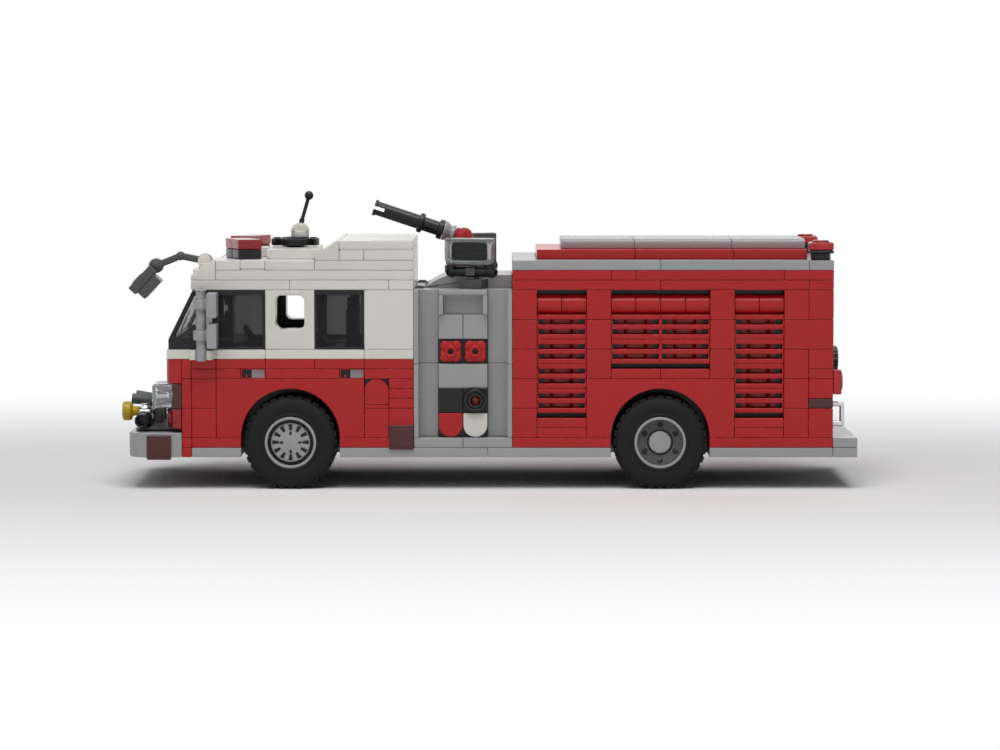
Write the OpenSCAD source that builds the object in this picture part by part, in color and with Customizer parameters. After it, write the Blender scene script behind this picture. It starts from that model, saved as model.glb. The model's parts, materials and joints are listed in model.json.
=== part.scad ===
// Brick-built toy fire engine: cab, pump section and equipment body on one chassis.
// X runs from nose to tail, Y across, Z up. The origin is on the floor under the middle.
// Lengths along X are counted in studs from the front axle, heights in plates from the chassis.

/* [Brick grid] */
// Pitch of the brick grid
stud = 8; // [6:0.1:10]
// Height of one plate
plate = 3.2; // [2.6:0.05:4]
// Wall of a moulded panel, frame or tray
wall = 1.6; // [1.2:0.1:2]
// Diameter of a moulded bar, and of what clips on to it
bar_d = 3.18; // [2.6:0.02:3.9]
// Diameter of a stud, a wheel pin and the sockets under the chassis
pin_d = 4.8; // [4:0.1:5.8]
// Radial running clearance of everything that turns on a pin
running_fit = 0.04; // [0.02:0.01:0.08]

/* [Wheels] */
// Outer diameter of a tyre
tyre_d = 30.4; // [25:0.1:36.6]
// Width of a tyre
tyre_w = 14; // [11:0.1:15]
// Diameter of the rim inside the tyre
rim_d = 16; // [13:0.1:19.4]
// Free space between a tyre and the wheel arch beside it
arch_gap = 0.8; // [0.5:0.1:1.2]

/* [Lengths in studs] */
// Cab ahead of the front axle
cab_nose = 4; // [4:1:5]
// Cab behind the front axle
cab_tail = 5; // [5:1:6]
// Pump section
pump_len = 4; // [4:1:5]
// Equipment body ahead of the rear axle
body_fore = 6; // [6:1:7]
// Equipment body behind the rear axle
body_aft = 7; // [7:1:8]
// Half of the width over the sides
half = 4; // [4:1:5]

/* [Heights in plates] */
// Top of the red lower cab
belt_p = 10; // [10:1:11]
// Height of the cab windows
window_h = 6; // [5:1:7]
// Height of the box on the cab roof
box_h = 2; // [2:1:3]

/* [Deck gun] */
// Length of the gun's barrel from its cone to its tip
barrel_l = 23.4; // [19:0.1:29]
// Diameter of the gun's barrel
barrel_d = 4.7; // [4:0.1:5.6]
// How far the gun's barrel is raised
gun_lift = 18.4; // [16:0.1:40]

/* [Hidden] */
$fn = 48;
axle_p = 1.5;                            // height of the axles in plates
tyre_r = tyre_d / 2;
floor_z = tyre_r - axle_p * plate;       // underside of the chassis
arch_r = tyre_r + arch_gap;
cab_x0 = -cab_nose;
cab_x1 = cab_tail;
pump_x1 = cab_x1 + pump_len;
wheelbase = pump_x1 + body_fore;
body_x1 = wheelbase + body_aft;
arch_half = 3;                           // half the length of a wheel arch piece
wheel_zone = 2;                          // studs between the sides and the inside of a wheel
nose_reach = 3;                          // bumper and its fittings, ahead of the cab
tail_reach = 1;                          // tailboard behind the body
front_x = (cab_nose + nose_reach - body_x1 - tail_reach) / 2 * stud; // X of the front axle
glass_p = belt_p + 1;                    // foot of the cab windows
eaves_p = glass_p + window_h;            // top of the cab windows
roof_p = eaves_p + 3;                    // top of the cab roof
trim_p = eaves_p + 2;                    // top of the body walls
arch_p = 8;                              // top of the wheel arch pieces
skin = 0.4 * stud;                       // a plate turned on its side
axles = [0, wheelbase];
sides = [-1, 1];
bays = [                                 // start and length in studs, foot in plates
    [pump_x1 + 1, body_fore - 4, 3],
    [wheelbase - 2, 4, arch_p],
    [wheelbase + arch_half, body_aft - 5, 3]
];
wheel_pin_end = half * stud - tyre_w / 3; // Y of a wheel pin's tip
red = [0.62, 0.16, 0.17];
white = [0.85, 0.84, 0.82];
light_grey = [0.6, 0.6, 0.6];
dark_grey = [0.33, 0.33, 0.34];
black = [0.1, 0.1, 0.11];
lens_red = [0.55, 0.1, 0.1, 0.8];
smoke = [0.25, 0.27, 0.28, 0.6];

function sx(n) = front_x + n * stud;     // studs behind the front axle
function pz(n) = floor_z + n * plate;    // plates above the chassis underside

// A box between studs xa and xb, ya and yb, and plates pa and pb
module block(xa, xb, ya, yb, pa, pb) {
    translate([sx(xa), ya * stud, pz(pa)])
        cube([(xb - xa) * stud, (yb - ya) * stud, (pb - pa) * plate]);
}

// The same piece on the near and the far side
module both_sides() {
    for (s = [0, 1]) mirror([0, s, 0]) children();
}

// A cylinder along X from stud xa to xb
module rod_x(xa, xb, y, z, d) {
    translate([sx(xa), y, z]) rotate([0, 90, 0]) cylinder(d = d, h = (xb - xa) * stud);
}

// A cylinder along Y from ya to yb in millimetres
module rod_y(x, ya, yb, z, d) {
    translate([x, yb, z]) rotate([90, 0, 0]) cylinder(d = d, h = yb - ya);
}

// An outline drawn in studs and plates, extruded across from ya to yb in millimetres
module across(points, ya, yb) {
    translate([0, yb, 0]) rotate([90, 0, 0]) linear_extrude(yb - ya)
        polygon([for (p = points) [sx(p[0]), pz(p[1])]]);
}

module wheel_wells(pa, pb) {
    for (a = axles) both_sides()
        translate([sx(a) - arch_r, (half - wheel_zone) * stud, pz(pa)])
            cube([2 * arch_r, 3 * stud, (pb - pa) * plate]);
}

module holder_slots(pa, pb) {
    for (a = axles)
        both_sides() block(a - 1, a + 1, half - wheel_zone - 1, half - wheel_zone, pa, pb);
}

// ---------- chassis ----------

module chassis() {
    socket_deep = 0.6 * plate;
    color(light_grey) difference() {
        union() {
            block(cab_x0, body_x1, -half, half, 0, 1);
            block(cab_x1, pump_x1, -half, half, 1, 2);
            block(body_x1, body_x1 + tail_reach, -half, half, 0, 2);
        }
        wheel_wells(-1, 3);
        holder_slots(-1, 3);
        for (n = [cab_x1 + 1, wheelbase - 4]) // sockets for a stand
            translate([sx(n), 0, pz(0) - 1]) cylinder(d = pin_d, h = socket_deep + 1);
    }
}

module axle_holders() {
    inner = half - wheel_zone;
    color(dark_grey) for (a = axles) both_sides() {
        block(a - 1, a + 1, inner - 1, inner, 0, 3);
        rod_y(sx(a), inner * stud, wheel_pin_end, tyre_r, pin_d);
    }
}

module base_plates() {
    color(red) difference() {
        union() {
            block(cab_x0, cab_x1, -half, half, 1, 2);
            block(pump_x1, body_x1, -half, half, 1, 2);
        }
        wheel_wells(-1, 3);
        holder_slots(-1, 3);
    }
}

// ---------- front end ----------

face_x = cab_x0 - skin / stud;           // front of the nose wall in studs
bumper_x0 = face_x - 2.2;
deck_top = 1.2;                          // thickness of the bumper's deck
bumper_p = 2.5;
bumper_r = 6;

// A slab between studs xa and xb whose two front corners are rounded
module nose_slab(xa, xb, half_y, r, za, zb) {
    h = zb - za;
    translate([0, 0, za]) {
        translate([sx(xa) + r, -half_y, 0]) cube([(xb - xa) * stud - r, 2 * half_y, h]);
        translate([sx(xa), r - half_y, 0]) cube([r + 1, 2 * (half_y - r), h]);
        for (s = sides)
            translate([sx(xa) + r, s * (half_y - r), 0]) cylinder(r = r, h = h);
    }
}

module bumper() {
    color(light_grey)
        nose_slab(bumper_x0, face_x, half * stud, bumper_r, pz(0), pz(bumper_p));
}

module bumper_deck() {
    inset = wall;
    color(dark_grey)
        nose_slab(bumper_x0 + inset / stud, face_x, half * stud - 4 * inset, bumper_r - inset,
                  pz(bumper_p), pz(bumper_p) + deck_top);
}

deck_z = pz(bumper_p) + deck_top;

// Pipe across the bumper, with a nozzle at each end
pipe_x = sx(bumper_x0 + 0.52);
pipe_z = deck_z + pin_d / 2;
pipe_d = pin_d - 1.2;
fitting_y = (half - 2) * stud;           // where the pipe's fittings stand
fitting_w = 4.8;
fitting_l = 4;

module front_hose() {
    nozzle_l = stud;
    end_y = (half - 0.4) * stud;
    hose_y = (half - 2.2) * stud;
    hose_x = sx(face_x - 0.64);
    hose_d = 2.6;
    hose_z = deck_z + 4.6;
    color(black) {
        rod_y(pipe_x, -end_y + 1, end_y - 1, pipe_z, pipe_d);
        for (s = sides) {
            translate([pipe_x, s * (end_y - nozzle_l), pipe_z]) rotate([-90 * s, 0, 0]) rotate(22.5)
                cylinder(d = pin_d, h = nozzle_l, $fn = 8);
            translate([pipe_x - 1, s * (end_y - nozzle_l) - 1.5, deck_z]) cube([2, 3, pin_d / 2]);
            translate([hose_x - 1, s * hose_y - 1.5, deck_z]) cube([2, 3, hose_z - deck_z]);
        }
        rod_y(hose_x, -hose_y - 1.5, hose_y + 1.5, hose_z, hose_d);
    }
}

module pipe_fittings() {
    top = 7.3;
    round = fitting_l / 2;
    color("silver") both_sides() difference() {
        union() {
            translate([pipe_x - fitting_l / 2, fitting_y - fitting_w / 2, deck_z])
                cube([fitting_l, fitting_w, top - round]);
            rod_y(pipe_x, fitting_y - fitting_w / 2, fitting_y + fitting_w / 2,
                  deck_z + top - round, fitting_l - 0.1);
        }
        rod_y(pipe_x, 0, half * stud, pipe_z, pipe_d + 0.04);
    }
}

module intake_cap() {
    x0 = sx(cab_x0 - nose_reach);
    cap_t = 0.43 * stud;
    z = deck_z + 4.6;
    color("gold") translate([0, -fitting_y, z]) rotate([0, 90, 0]) {
        translate([0, 0, x0]) cylinder(d = 2 * bar_d, h = cap_t);
        translate([0, 0, x0 + 1]) cylinder(d = bar_d, h = pipe_x - fitting_l / 2 - x0 - 1);
    }
}

module air_horn() {
    z = deck_z + 7;
    y = 0.8 * stud;
    front = sx(cab_x0 - nose_reach) + 1.2;
    back = pipe_x + pipe_d / 2 + 0.4;
    holder = 2.6;
    rise = 6;
    color(dark_grey) both_sides() {
        translate([back + 0.5, y, z]) rotate([0, -90 + rise, 0]) {
            cylinder(d = bar_d + 0.5, h = back - front);
            cylinder(d = pin_d, h = 1.2);
        }
        translate([back, y - 1.5, deck_z]) cube([holder, 3, z + 1 - deck_z]);
    }
}

module front_wall() {
    color(red) block(face_x, cab_x0, -half, half, 0, belt_p);
}

lamp_p = [4.95, 7.45];                   // foot and head of the headlamps

module front_lights() {
    t = 0.4;
    mid_z = (pz(lamp_p[0]) + pz(lamp_p[1])) / 2;
    color(smoke) both_sides() {
        block(face_x - t, face_x, half - 2, half, lamp_p[0], lamp_p[1]);
        rod_x(face_x - 3 * t, face_x - t, (half - 1.5) * stud, mid_z, (lamp_p[1] - lamp_p[0]) * plate);
    }
    color(lens_red) both_sides() block(face_x - t, face_x, half - 2, half, bumper_p + (deck_top + 0.1) / plate, lamp_p[0] - 0.03);
}

badge_p = 7.5;
module badge_tiles() {
    thick = 0.65 * stud;
    r = thick;
    color(red) both_sides() translate([sx(face_x), 0, pz(badge_p)]) {
        h = (belt_p - badge_p) * plate;
        translate([-thick, (half - 2) * stud, 0]) cube([thick, 2 * stud - r, h]);
        intersection() {
            translate([0, half * stud - r, 0]) cylinder(r = r, h = h);
            translate([-thick, half * stud - r - 1, 0]) cube([thick, r + 1, h]);
        }
    }
}

module front_grille() {
    color(light_grey) {
        block(face_x - 0.15, face_x, -half + 2, half - 2, 3, belt_p);
        for (i = [0:4])
            block(face_x - 0.4, face_x - 0.15, -half + 2.1, half - 2.1, 3.2 + i * 1.4, 3.9 + i * 1.4);
    }
}

// ---------- lower cab ----------

filler_x = cab_x1 - 2;
filler_p = [5.4, 8];

handle_x = [-2, 2];
handle_deep = 3;

module cab_walls() {
    color(red) difference() {
        union() {
            both_sides() {
                block(cab_x0, -arch_half, half - 1, half, 2, belt_p);
                block(-arch_half, arch_half, half - 1, half, arch_p, belt_p);
                block(arch_half, cab_x1, half - 1, half, 2, belt_p);
            }
            block(cab_x1 - 1, cab_x1, -half + 1, half - 1, 2, belt_p);
        }
        for (n = handle_x) both_sides()
            translate([sx(n) + 1, half * stud - handle_deep, pz(arch_p) + 0.4])
                cube([stud - 2, handle_deep + 1, plate - 0.4]);
        both_sides() translate([sx(filler_x), half * stud - wall, pz(filler_p[0])])
            cube([stud, wall + 1, (filler_p[1] - filler_p[0]) * plate]);
    }
}

module fenders() {
    color(red) for (a = axles) both_sides() difference() {
        block(a - arch_half, a + arch_half, half - wheel_zone, half, 2, arch_p);
        rod_y(sx(a), (half - wheel_zone - 1) * stud, (half + 1) * stud, pz(2), 2 * arch_r);
    }
}

module filler_doors() {
    h = (filler_p[1] - filler_p[0]) * plate;
    color(red) both_sides()
        translate([sx(filler_x), half * stud, pz(filler_p[0])]) rotate([90, 0, 0]) {
            cube([stud, h / 2, wall]);
            intersection() {
                translate([stud / 2, h - stud / 2]) cylinder(d = stud, h = wall);
                translate([0, h / 2 - 0.01]) cube([stud, h, wall]);
            }
            translate([0.01, h / 2 - 0.01]) cube([stud - 0.02, h / 2 - stud / 2 + 0.02, wall]);
        }
}

marker_t = 0.5 * wall;
module side_markers() {
    color(lens_red) both_sides() {
        translate([sx(cab_x1 - 1), half * stud, pz(0.8)]) cube([stud, marker_t, stud]);
        translate([sx(face_x - 1.43), half * stud, pz(-0.25)]) cube([stud, marker_t, stud]);
        translate([sx(body_x1 - 1), half * stud - marker_t, pz(5)]) cube([stud, marker_t, plate]);
    }
}

module belt() {
    finger = 0.28 * stud;
    reach = bar_y + 1.2 - half * stud;
    color(white) difference() {
        block(cab_x0 - 1, cab_x1, -half, half, belt_p, glass_p);
        block(cab_x0 + 1, cab_x1 - 1, -half + 1, half - 1, belt_p - 1, glass_p + 1);
    }
    color(white) both_sides() for (s = sides)
        translate([sx(bar_x) + s * (bar_d + 0.1 + finger) / 2 - finger / 2, half * stud, pz(belt_p)])
            cube([finger, reach, plate]);
}

bar_x = cab_x0 + 0.45;
bar_y = (half + 0.5) * stud;
module grab_bars() {
    over = 0.4;                          // reach of the bar past the belt and the eaves
    color(light_grey) both_sides()
        translate([sx(bar_x), bar_y, pz(belt_p) - over])
            cylinder(d = bar_d, h = (eaves_p - belt_p) * plate + 2 * over);
    color(white) both_sides() {
        translate([sx(body_x1 + 0.4), (half - 0.5) * stud, pz(3.1)]) cylinder(d = wall, h = stud);
        for (p = [3.1, 5.1])
            translate([sx(body_x1), (half - 0.5) * stud - wall / 2, pz(p)])
                cube([0.4 * stud, wall, wall]);
    }
}

module side_mirrors() {
    color(light_grey) both_sides() for (p = [glass_p + 1, glass_p + 4.1]) difference() {
        union() {
            translate([sx(bar_x), bar_y, pz(p)]) cylinder(d = bar_d + 2, h = plate);
            translate([sx(bar_x) + bar_d / 2 + 0.5, bar_y - stud / 2, pz(p) - 0.8 * plate])
                cube([plate, stud, stud]);
        }
        translate([sx(bar_x), bar_y, pz(p) - plate]) cylinder(d = bar_d, h = 3 * stud);
    }
}

// ---------- upper cab ----------

port_w = 9.4;
port_p = [2, window_h - 0.55];           // foot and head of the round window, above its brick

module round_window() {
    port_h = (port_p[1] - port_p[0]) * plate;
    corner = 2;
    x = port_w / 2 - corner;
    both_sides() translate([sx(0), (half + 1) * stud, pz(glass_p + port_p[0])]) rotate([90, 0, 0]) {
        translate([-x - corner, corner, 0]) cube([port_w, port_h - 2 * corner, 3 * stud]);
        translate([-x, 0, 0]) cube([2 * x, port_h, 3 * stud]);
        for (s = sides, z = [corner, port_h - corner])
            translate([s * x, z, 0]) cylinder(r = corner, h = 3 * stud);
    }
}

module cab_pillars() {
    color(white) difference() {
        union() {
            both_sides() {
                block(-1, 1, half - 1, half, glass_p, eaves_p);
                block(arch_half, cab_x1, half - 1, half, glass_p, eaves_p);
            }
            block(cab_x1 - 1, cab_x1, -half + 1, half - 1, glass_p, eaves_p);
        }
        round_window();
    }
}

window_x = [-arch_half, 1];
frame_d = 0.5 * stud;
module window_frames() {
    color(black) both_sides() for (n = window_x) difference() {
        translate([sx(n), half * stud - frame_d, pz(glass_p)])
            cube([2 * stud, frame_d, window_h * plate]);
        translate([sx(n) + 0.7 * wall, (half - 2) * stud, pz(glass_p) + 0.7 * wall])
            cube([2 * stud - 1.4 * wall, 3 * stud, window_h * plate - 1.7 * wall]);
    }
}

screen_foot = cab_x0 - 0.92;
screen_head = cab_x0 + 0.07;

module screen_wedge(inset) {
    across([
        [screen_foot + inset, glass_p], [screen_foot + inset, glass_p + 1],
        [screen_head + inset, eaves_p], [cab_x0 + 1, eaves_p], [cab_x0 + 1, glass_p]
    ], -half * stud, half * stud);
}

module screen_front_cut() {
    translate([sx(screen_foot) - 1, -half * stud + 2 * wall, pz(glass_p + 1.3)])
        cube([1.8 * stud, 2 * half * stud - 4 * wall, (window_h - 1.9) * plate]);
}

module screen_side_cut() {
    for (s = sides)
        across([
            [screen_foot + 0.42, glass_p + 1.3], [screen_head + 0.3, eaves_p - 0.6],
            [cab_x0 + 0.8, eaves_p - 0.6], [cab_x0 + 0.8, glass_p + 1.3]
        ], s > 0 ? half * stud - wall : -half * stud - 1, s > 0 ? half * stud + 1 : -half * stud + wall);
}

module windscreen_frame() {
    color(black) difference() {
        screen_wedge(0);
        intersection() {
            screen_wedge(0.24);
            translate([sx(screen_foot) - 1, -half * stud + wall, pz(glass_p) - 1])
                cube([3 * stud, 2 * (half * stud - wall), 1 + (window_h - 0.5) * plate]);
        }
        screen_front_cut();
        screen_side_cut();
    }
}

module cab_glass() {
    color(smoke) intersection() {
        difference() {
            screen_wedge(0.05);
            screen_wedge(0.2);
        }
        screen_front_cut();
    }
    color(smoke) intersection() {
        screen_side_cut();
        both_sides() translate([sx(cab_x0 - 2), half * stud - 1.3, 0]) cube([4 * stud, 1, 200]);
    }
    color(smoke) both_sides() for (n = window_x)
        translate([sx(n) + 0.7 * wall, half * stud - 1.5, pz(glass_p) + 0.7 * wall])
            cube([2 * stud - 1.4 * wall, 1, window_h * plate - 1.7 * wall]);
}

seat_w = 2 * stud;
module cab_interior() {
    color(dark_grey) block(cab_x0, cab_x1 - 1, -half + 1, half - 1, arch_p, arch_p + 1);
    color(dark_grey) both_sides() {
        translate([sx(0.2), 0.4 * stud, pz(arch_p + 1)]) cube([2 * stud, seat_w, 2 * plate]);
        translate([sx(2.2), 0.4 * stud, pz(arch_p + 1)]) cube([0.4 * stud, seat_w, 6 * plate]);
    }
    lining = 0.2;
    color(black) difference() {
        union() {
            both_sides() block(-1, 1, half - 1 - lining, half - 1, belt_p, eaves_p);
            both_sides() block(arch_half, cab_x1 - 1 - lining, half - 1 - lining, half - 1, belt_p, eaves_p);
            block(cab_x1 - 1 - lining, cab_x1 - 1, -half + 1, half - 1, arch_p + 1, eaves_p);
        }
        round_window();
    }
    color(black) {
        block(-2.9, -2.1, -half + 1.2, half - 1.2, arch_p + 1, glass_p + 0.6);
        translate([sx(-2.1), -1.4 * stud, pz(glass_p)]) rotate([0, 60, 0]) {
            translate([0, 0, -0.8]) cylinder(d = 2, h = 4);
            translate([0, 0, 3]) difference() {
                cylinder(d = 11, h = 1.4);
                translate([0, 0, -1]) cylinder(d = 8, h = 4);
            }
            translate([-5, -0.8, 3]) cube([10, 1.6, 1.4]);
        }
    }
}

// ---------- roof ----------

lip = 1.5;
hub_x = sx(cab_x0) + 0.45 * stud;
hub_y = -2.35 * stud;
hub_eye = 4.8;                           // diameter of the arm's eyes
hub_z = pz(eaves_p + 2) + hub_eye / 2 + 0.1;
hub_pin = bar_d;

module cab_roof() {
    color(white) {
        block(cab_x0, cab_x1, -half, half, eaves_p, eaves_p + 1);
        block(cab_x0 + 1, cab_x1, -half, half, eaves_p + 1, roof_p);
        block(cab_x0, cab_x0 + 1, -half + 1, half - 1, eaves_p + 1, eaves_p + 2);
        for (s = sides)
            across([
                [cab_x0, eaves_p + 1], [cab_x0, eaves_p + 1 + lip / plate],
                [cab_x0 + 1, roof_p], [cab_x0 + 1, eaves_p + 1]
            ], s > 0 ? (half - 1) * stud : -half * stud, s > 0 ? half * stud : (1 - half) * stud);
        translate([hub_x - 2, hub_y + 1.7, pz(eaves_p + 2)]) cube([4, 3, hub_z - pz(eaves_p + 2) + 1]);
        rod_y(hub_x, hub_y - 1.8, hub_y + 2, hub_z, hub_pin);
    }
}

box_x0 = cab_x1 - 4;
module roof_box() {
    color(white) {
        block(box_x0 + 1, cab_x1, -half, half, roof_p, roof_p + box_h);
        across([
            [box_x0, roof_p], [box_x0, roof_p + lip / plate],
            [box_x0 + 1, roof_p + box_h], [box_x0 + 1, roof_p]
        ], -half * stud, half * stud);
    }
}

vee = 20;
module beacon_bases() {
    color(black) {
        both_sides() translate([sx(-2), 2 * stud, pz(roof_p)]) rotate(-vee)
            translate([-stud / 2, -stud + 0.2, 0]) cube([stud, 2 * stud - 0.4, plate]);
        block(-2.4, -1.6, -0.6, 0.6, roof_p, roof_p + 1.6);
        both_sides() translate([sx(body_x1 - 0.5), (half - 0.5) * stud, pz(trim_p + 1)]) {
            cylinder(d = 0.8 * stud, h = plate - 1);
            translate([-stud / 2, -stud / 2, plate - 1]) cube([stud, stud, 1]);
        }
    }
}

module beacon_lenses() {
    color(lens_red) {
        both_sides() translate([sx(-2), 2 * stud, pz(roof_p + 1)]) rotate(-vee)
            translate([-stud / 2, -stud, 0]) cube([stud, 2 * stud, plate]);
        both_sides() translate([sx(body_x1 - 1), (half - 1) * stud, pz(trim_p + 2)])
            cube([stud, stud, plate]);
    }
}

vent_half = 2.9;
module roof_vent() {
    color(white) {
        translate([sx(-1) + plate / 2, -vent_half * stud, pz(roof_p)])
            cube([2 * stud - plate, 2 * vent_half * stud, plate]);
        for (n = sides) rod_y(sx(n) - n * plate / 2, -vent_half * stud, vent_half * stud,
                              pz(roof_p) + plate / 2, plate);
    }
}

mast_x = sx(0.2);
mast_z = pz(roof_p + 3) + 0.2;
mast_pin = 1.2;
mast_slot = 1.8;
mast_tilt = 16;

module radar_disc() {
    color(black) translate([sx(0), 0, pz(roof_p + 1)]) difference() {
        cylinder(d = 2 * stud, h = plate);
        for (i = [0:3]) rotate(45 + 90 * i) translate([stud - 1, -1.6, 1]) cube([3, 3.2, plate]);
    }
    color(white) translate([mast_x, 0, pz(roof_p + 2)]) difference() {
        union() {
            cylinder(d = 0.75 * stud, h = 0.6 * plate);
            translate([0, 0, 0.6 * plate]) intersection() {
                sphere(d = 0.75 * stud);
                cylinder(d = stud, h = stud);
            }
        }
        translate([-stud, -mast_slot / 2, 1]) cube([2 * stud, mast_slot, 2 * stud]);
    }
    color(white) rod_y(mast_x, -mast_slot / 2 - 0.1, mast_slot / 2 + 0.1, mast_z, mast_pin);
}

module antenna_lever() {
    reach = 10.8;
    eye = 2.6;
    color(black) translate([mast_x, 0, mast_z]) rotate([0, mast_tilt, 0]) {
        difference() {
            union() {
                rotate([90, 0, 0]) translate([0, 0, -0.7]) cylinder(d = eye, h = 1.4);
                cylinder(d = 1.4, h = reach);
            }
            rotate([90, 0, 0]) translate([0, 0, -2])
                cylinder(d = mast_pin + 2 * running_fit, h = 4);
        }
        translate([0, 0, reach]) sphere(d = 3);
    }
}

// Elbows of the mirror arm: distance forward of the hub and height over it
elbows = [[0, 0], [8, 1.6], [16, -1.6]];
mirror_dir = 47;
mirror_l = 11.3;
arm_w = 2.8;
arm_t = 2.2;

module mirror_arm() {
    last = elbows[2];
    color(dark_grey) translate([hub_x, hub_y, hub_z]) difference() {
        union() {
            for (e = [[elbows[0], hub_eye], [elbows[1], 2.9], [last, hub_eye]])
                translate([-e[0][0], arm_w / 2, e[0][1]]) rotate([90, 0, 0])
                    cylinder(d = e[1], h = arm_w);
            for (i = [0, 1]) {
                run = elbows[i + 1] - elbows[i];
                translate([-elbows[i][0], 0, elbows[i][1]]) rotate([0, atan2(run[1], run[0]), 0])
                    translate([-norm(run), -arm_w / 2, -arm_t / 2]) cube([norm(run), arm_w, arm_t]);
            }
            translate([-last[0], 0, last[1]]) rotate([0, -mirror_dir, 0]) {
                translate([-mirror_l, -stud / 2, -plate / 2]) cube([mirror_l - 1, stud, plate]);
                translate([-mirror_l + 1, -stud / 2, -1.5 * plate]) cube([stud, stud, plate + 0.1]);
            }
        }
        rotate([90, 0, 0]) translate([0, 0, -5]) cylinder(d = hub_pin + 2 * running_fit, h = 10);
    }
}

// ---------- pump section ----------

pump_face = half * stud - 3 * wall;      // Y of the board behind the fittings

module pump_frame() {
    h = (eaves_p - 2) * plate;
    edge = 0.2 * stud;
    color(light_grey) both_sides() {
        translate([sx(cab_x1), pump_face - plate, pz(2)]) cube([pump_len * stud, plate, h]);
        for (x = [sx(cab_x1), sx(pump_x1) - edge])
            translate([x, pump_face, pz(2)]) cube([edge, 3 * wall, h]);
    }
}

// The middle column of the panel is a stack of square modules, counted from the top
pump_mid = (cab_x1 + pump_x1) / 2;
cell = (eaves_p - 2) * plate / 6;
module pump_cell(row) {
    translate([sx(pump_mid) - cell, pump_face, pz(eaves_p) - (row + 1) * cell]) children();
}

module half_round(t) {
    gap = 0.1;
    r = cell / 2 - gap;
    translate([gap, 0, cell / 2]) cube([2 * r, t, cell / 2 - gap]);
    translate([cell / 2, 0, cell / 2]) rotate([-90, 0, 0]) cylinder(r = r, h = t);
}

module pump_tiles() {
    gap = 0.05;
    color(light_grey) both_sides() {
        pump_cell(0) difference() {
            cube([2 * cell, 3 * wall, cell]);
            translate([wall, wall, -1]) cube([2 * cell - 2 * wall, 3 * wall, cell + 1 - wall]);
        }
        pump_cell(1) {
            cube([2 * cell, 1.5 * wall, cell]);
            for (k = [0, 1]) translate([k * cell + gap, wall, gap])
                cube([cell - 2 * gap, wall, cell - 2 * gap]);
        }
        pump_cell(3) cube([2 * cell, 2.5 * wall, cell]);
    }
}

module valve_wheels() {
    petal = 1.9;
    color(red) both_sides() {
        for (k = [0, 1]) pump_cell(2)
            translate([(k + 0.5) * cell, wall, cell / 2]) rotate([-90, 0, 0]) difference() {
                union() {
                    for (a = [0:3]) rotate(45 + 90 * a) translate([petal, 0, 0])
                        cylinder(d = 2 * petal, h = 1.5 * wall);
                    cylinder(d = 4.6, h = 1.5 * wall);
                }
                translate([0, 0, 0.5 * wall]) cylinder(d = 1.8, h = 2 * wall);
            }
        pump_cell(5) translate([0, wall, 0]) half_round(wall);
    }
}

module pump_ports() {
    color(black) both_sides() {
        for (row = [2, 4, 5]) pump_cell(row) cube([2 * cell, wall, cell]);
        pump_cell(4) {
            translate([1.5 * cell, wall, cell / 2]) rotate([-90, 0, 0]) difference() {
                cylinder(d = 0.98 * cell, h = 2 * wall);
                translate([0, 0, wall]) cylinder(d = bar_d, h = 2 * wall);
            }
            translate([0.1, wall, 0.1]) cube([cell - 0.2, wall, cell - 0.2]);
        }
    }
}

module pump_plates() {
    color(white) both_sides() pump_cell(5) translate([cell, wall, 0]) half_round(wall);
}

deck_p = eaves_p + 1.3;                  // top of the hump on the pump section's roof
module pump_roof() {
    hump = half - 2;
    foot = cab_x1 + 0.4;
    color(light_grey) {
        translate([sx(cab_x1), plate - pump_face, pz(eaves_p - 1)])
            cube([pump_len * stud, 2 * (pump_face - plate), plate]);
        across([
            [foot, eaves_p], [foot + 0.3, eaves_p + 0.6], [foot + 0.7, eaves_p + 1],
            [foot + 1.2, deck_p], [pump_x1, deck_p], [pump_x1, eaves_p]
        ], -hump * stud, hump * stud);
    }
}

lamp_x = sx(pump_mid + 0.4);
lamp_y = (half - 1.35) * stud;
lamp_z = pz(eaves_p);
lamp_turn = 18;
lamp_h = 8.6;
lamp_bar_z = 1.7 * plate;                // the carrying bar, over the bracket's foot
lamp_w = 2 * stud;
lamp_bar_y = 1.4;

// Places a piece of a floodlight on both sides, turned forward a little
module at_lamp() {
    both_sides() translate([lamp_x, lamp_y, lamp_z]) rotate(lamp_turn) children();
}

module floodlight_brackets() {
    clip = plate;
    color(dark_grey) at_lamp() difference() {
        union() {
            translate([-stud / 2, -stud / 2, 0]) cube([stud, stud - 1, plate]);
            translate([-clip / 2, -0.2 * stud, plate - 0.1]) cube([clip, stud / 2, lamp_bar_z - plate + bar_d / 2 + 0.5]);
        }
        translate([-lamp_w, lamp_bar_y, lamp_bar_z]) rotate([0, 90, 0])
            cylinder(d = bar_d + 0.06, h = 2 * lamp_w);
    }
}

module lamp_backs() {
    foot = lamp_bar_z + bar_d / 2 + 0.9;
    post = 2.2;
    color(black) at_lamp() {
        translate([-lamp_w / 2 + 0.5, lamp_bar_y, lamp_bar_z]) rotate([0, 90, 0])
            cylinder(d = bar_d, h = lamp_w - 1);
        for (s = sides) translate([s * (lamp_w / 2 - post / 2) - post / 2, lamp_bar_y - 1.7, lamp_bar_z - 1.7])
            cube([post, 3.4, foot - lamp_bar_z + 1.7]);
        translate([-lamp_w / 2, lamp_bar_y - 1.7, foot]) cube([lamp_w, 2.2, lamp_h]);
    }
}

module floodlights() {
    foot = lamp_bar_z + bar_d / 2 + 0.9;
    deep = 4.2;
    color(smoke) at_lamp() difference() {
        translate([-lamp_w / 2, lamp_bar_y + 0.5, foot]) cube([lamp_w, deep, lamp_h]);
        translate([-lamp_w / 2 + 1.2, lamp_bar_y, foot + 1.2]) cube([lamp_w - 2.4, deep - 0.7, lamp_h - 2.4]);
    }
}

// ---------- deck gun ----------

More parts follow.
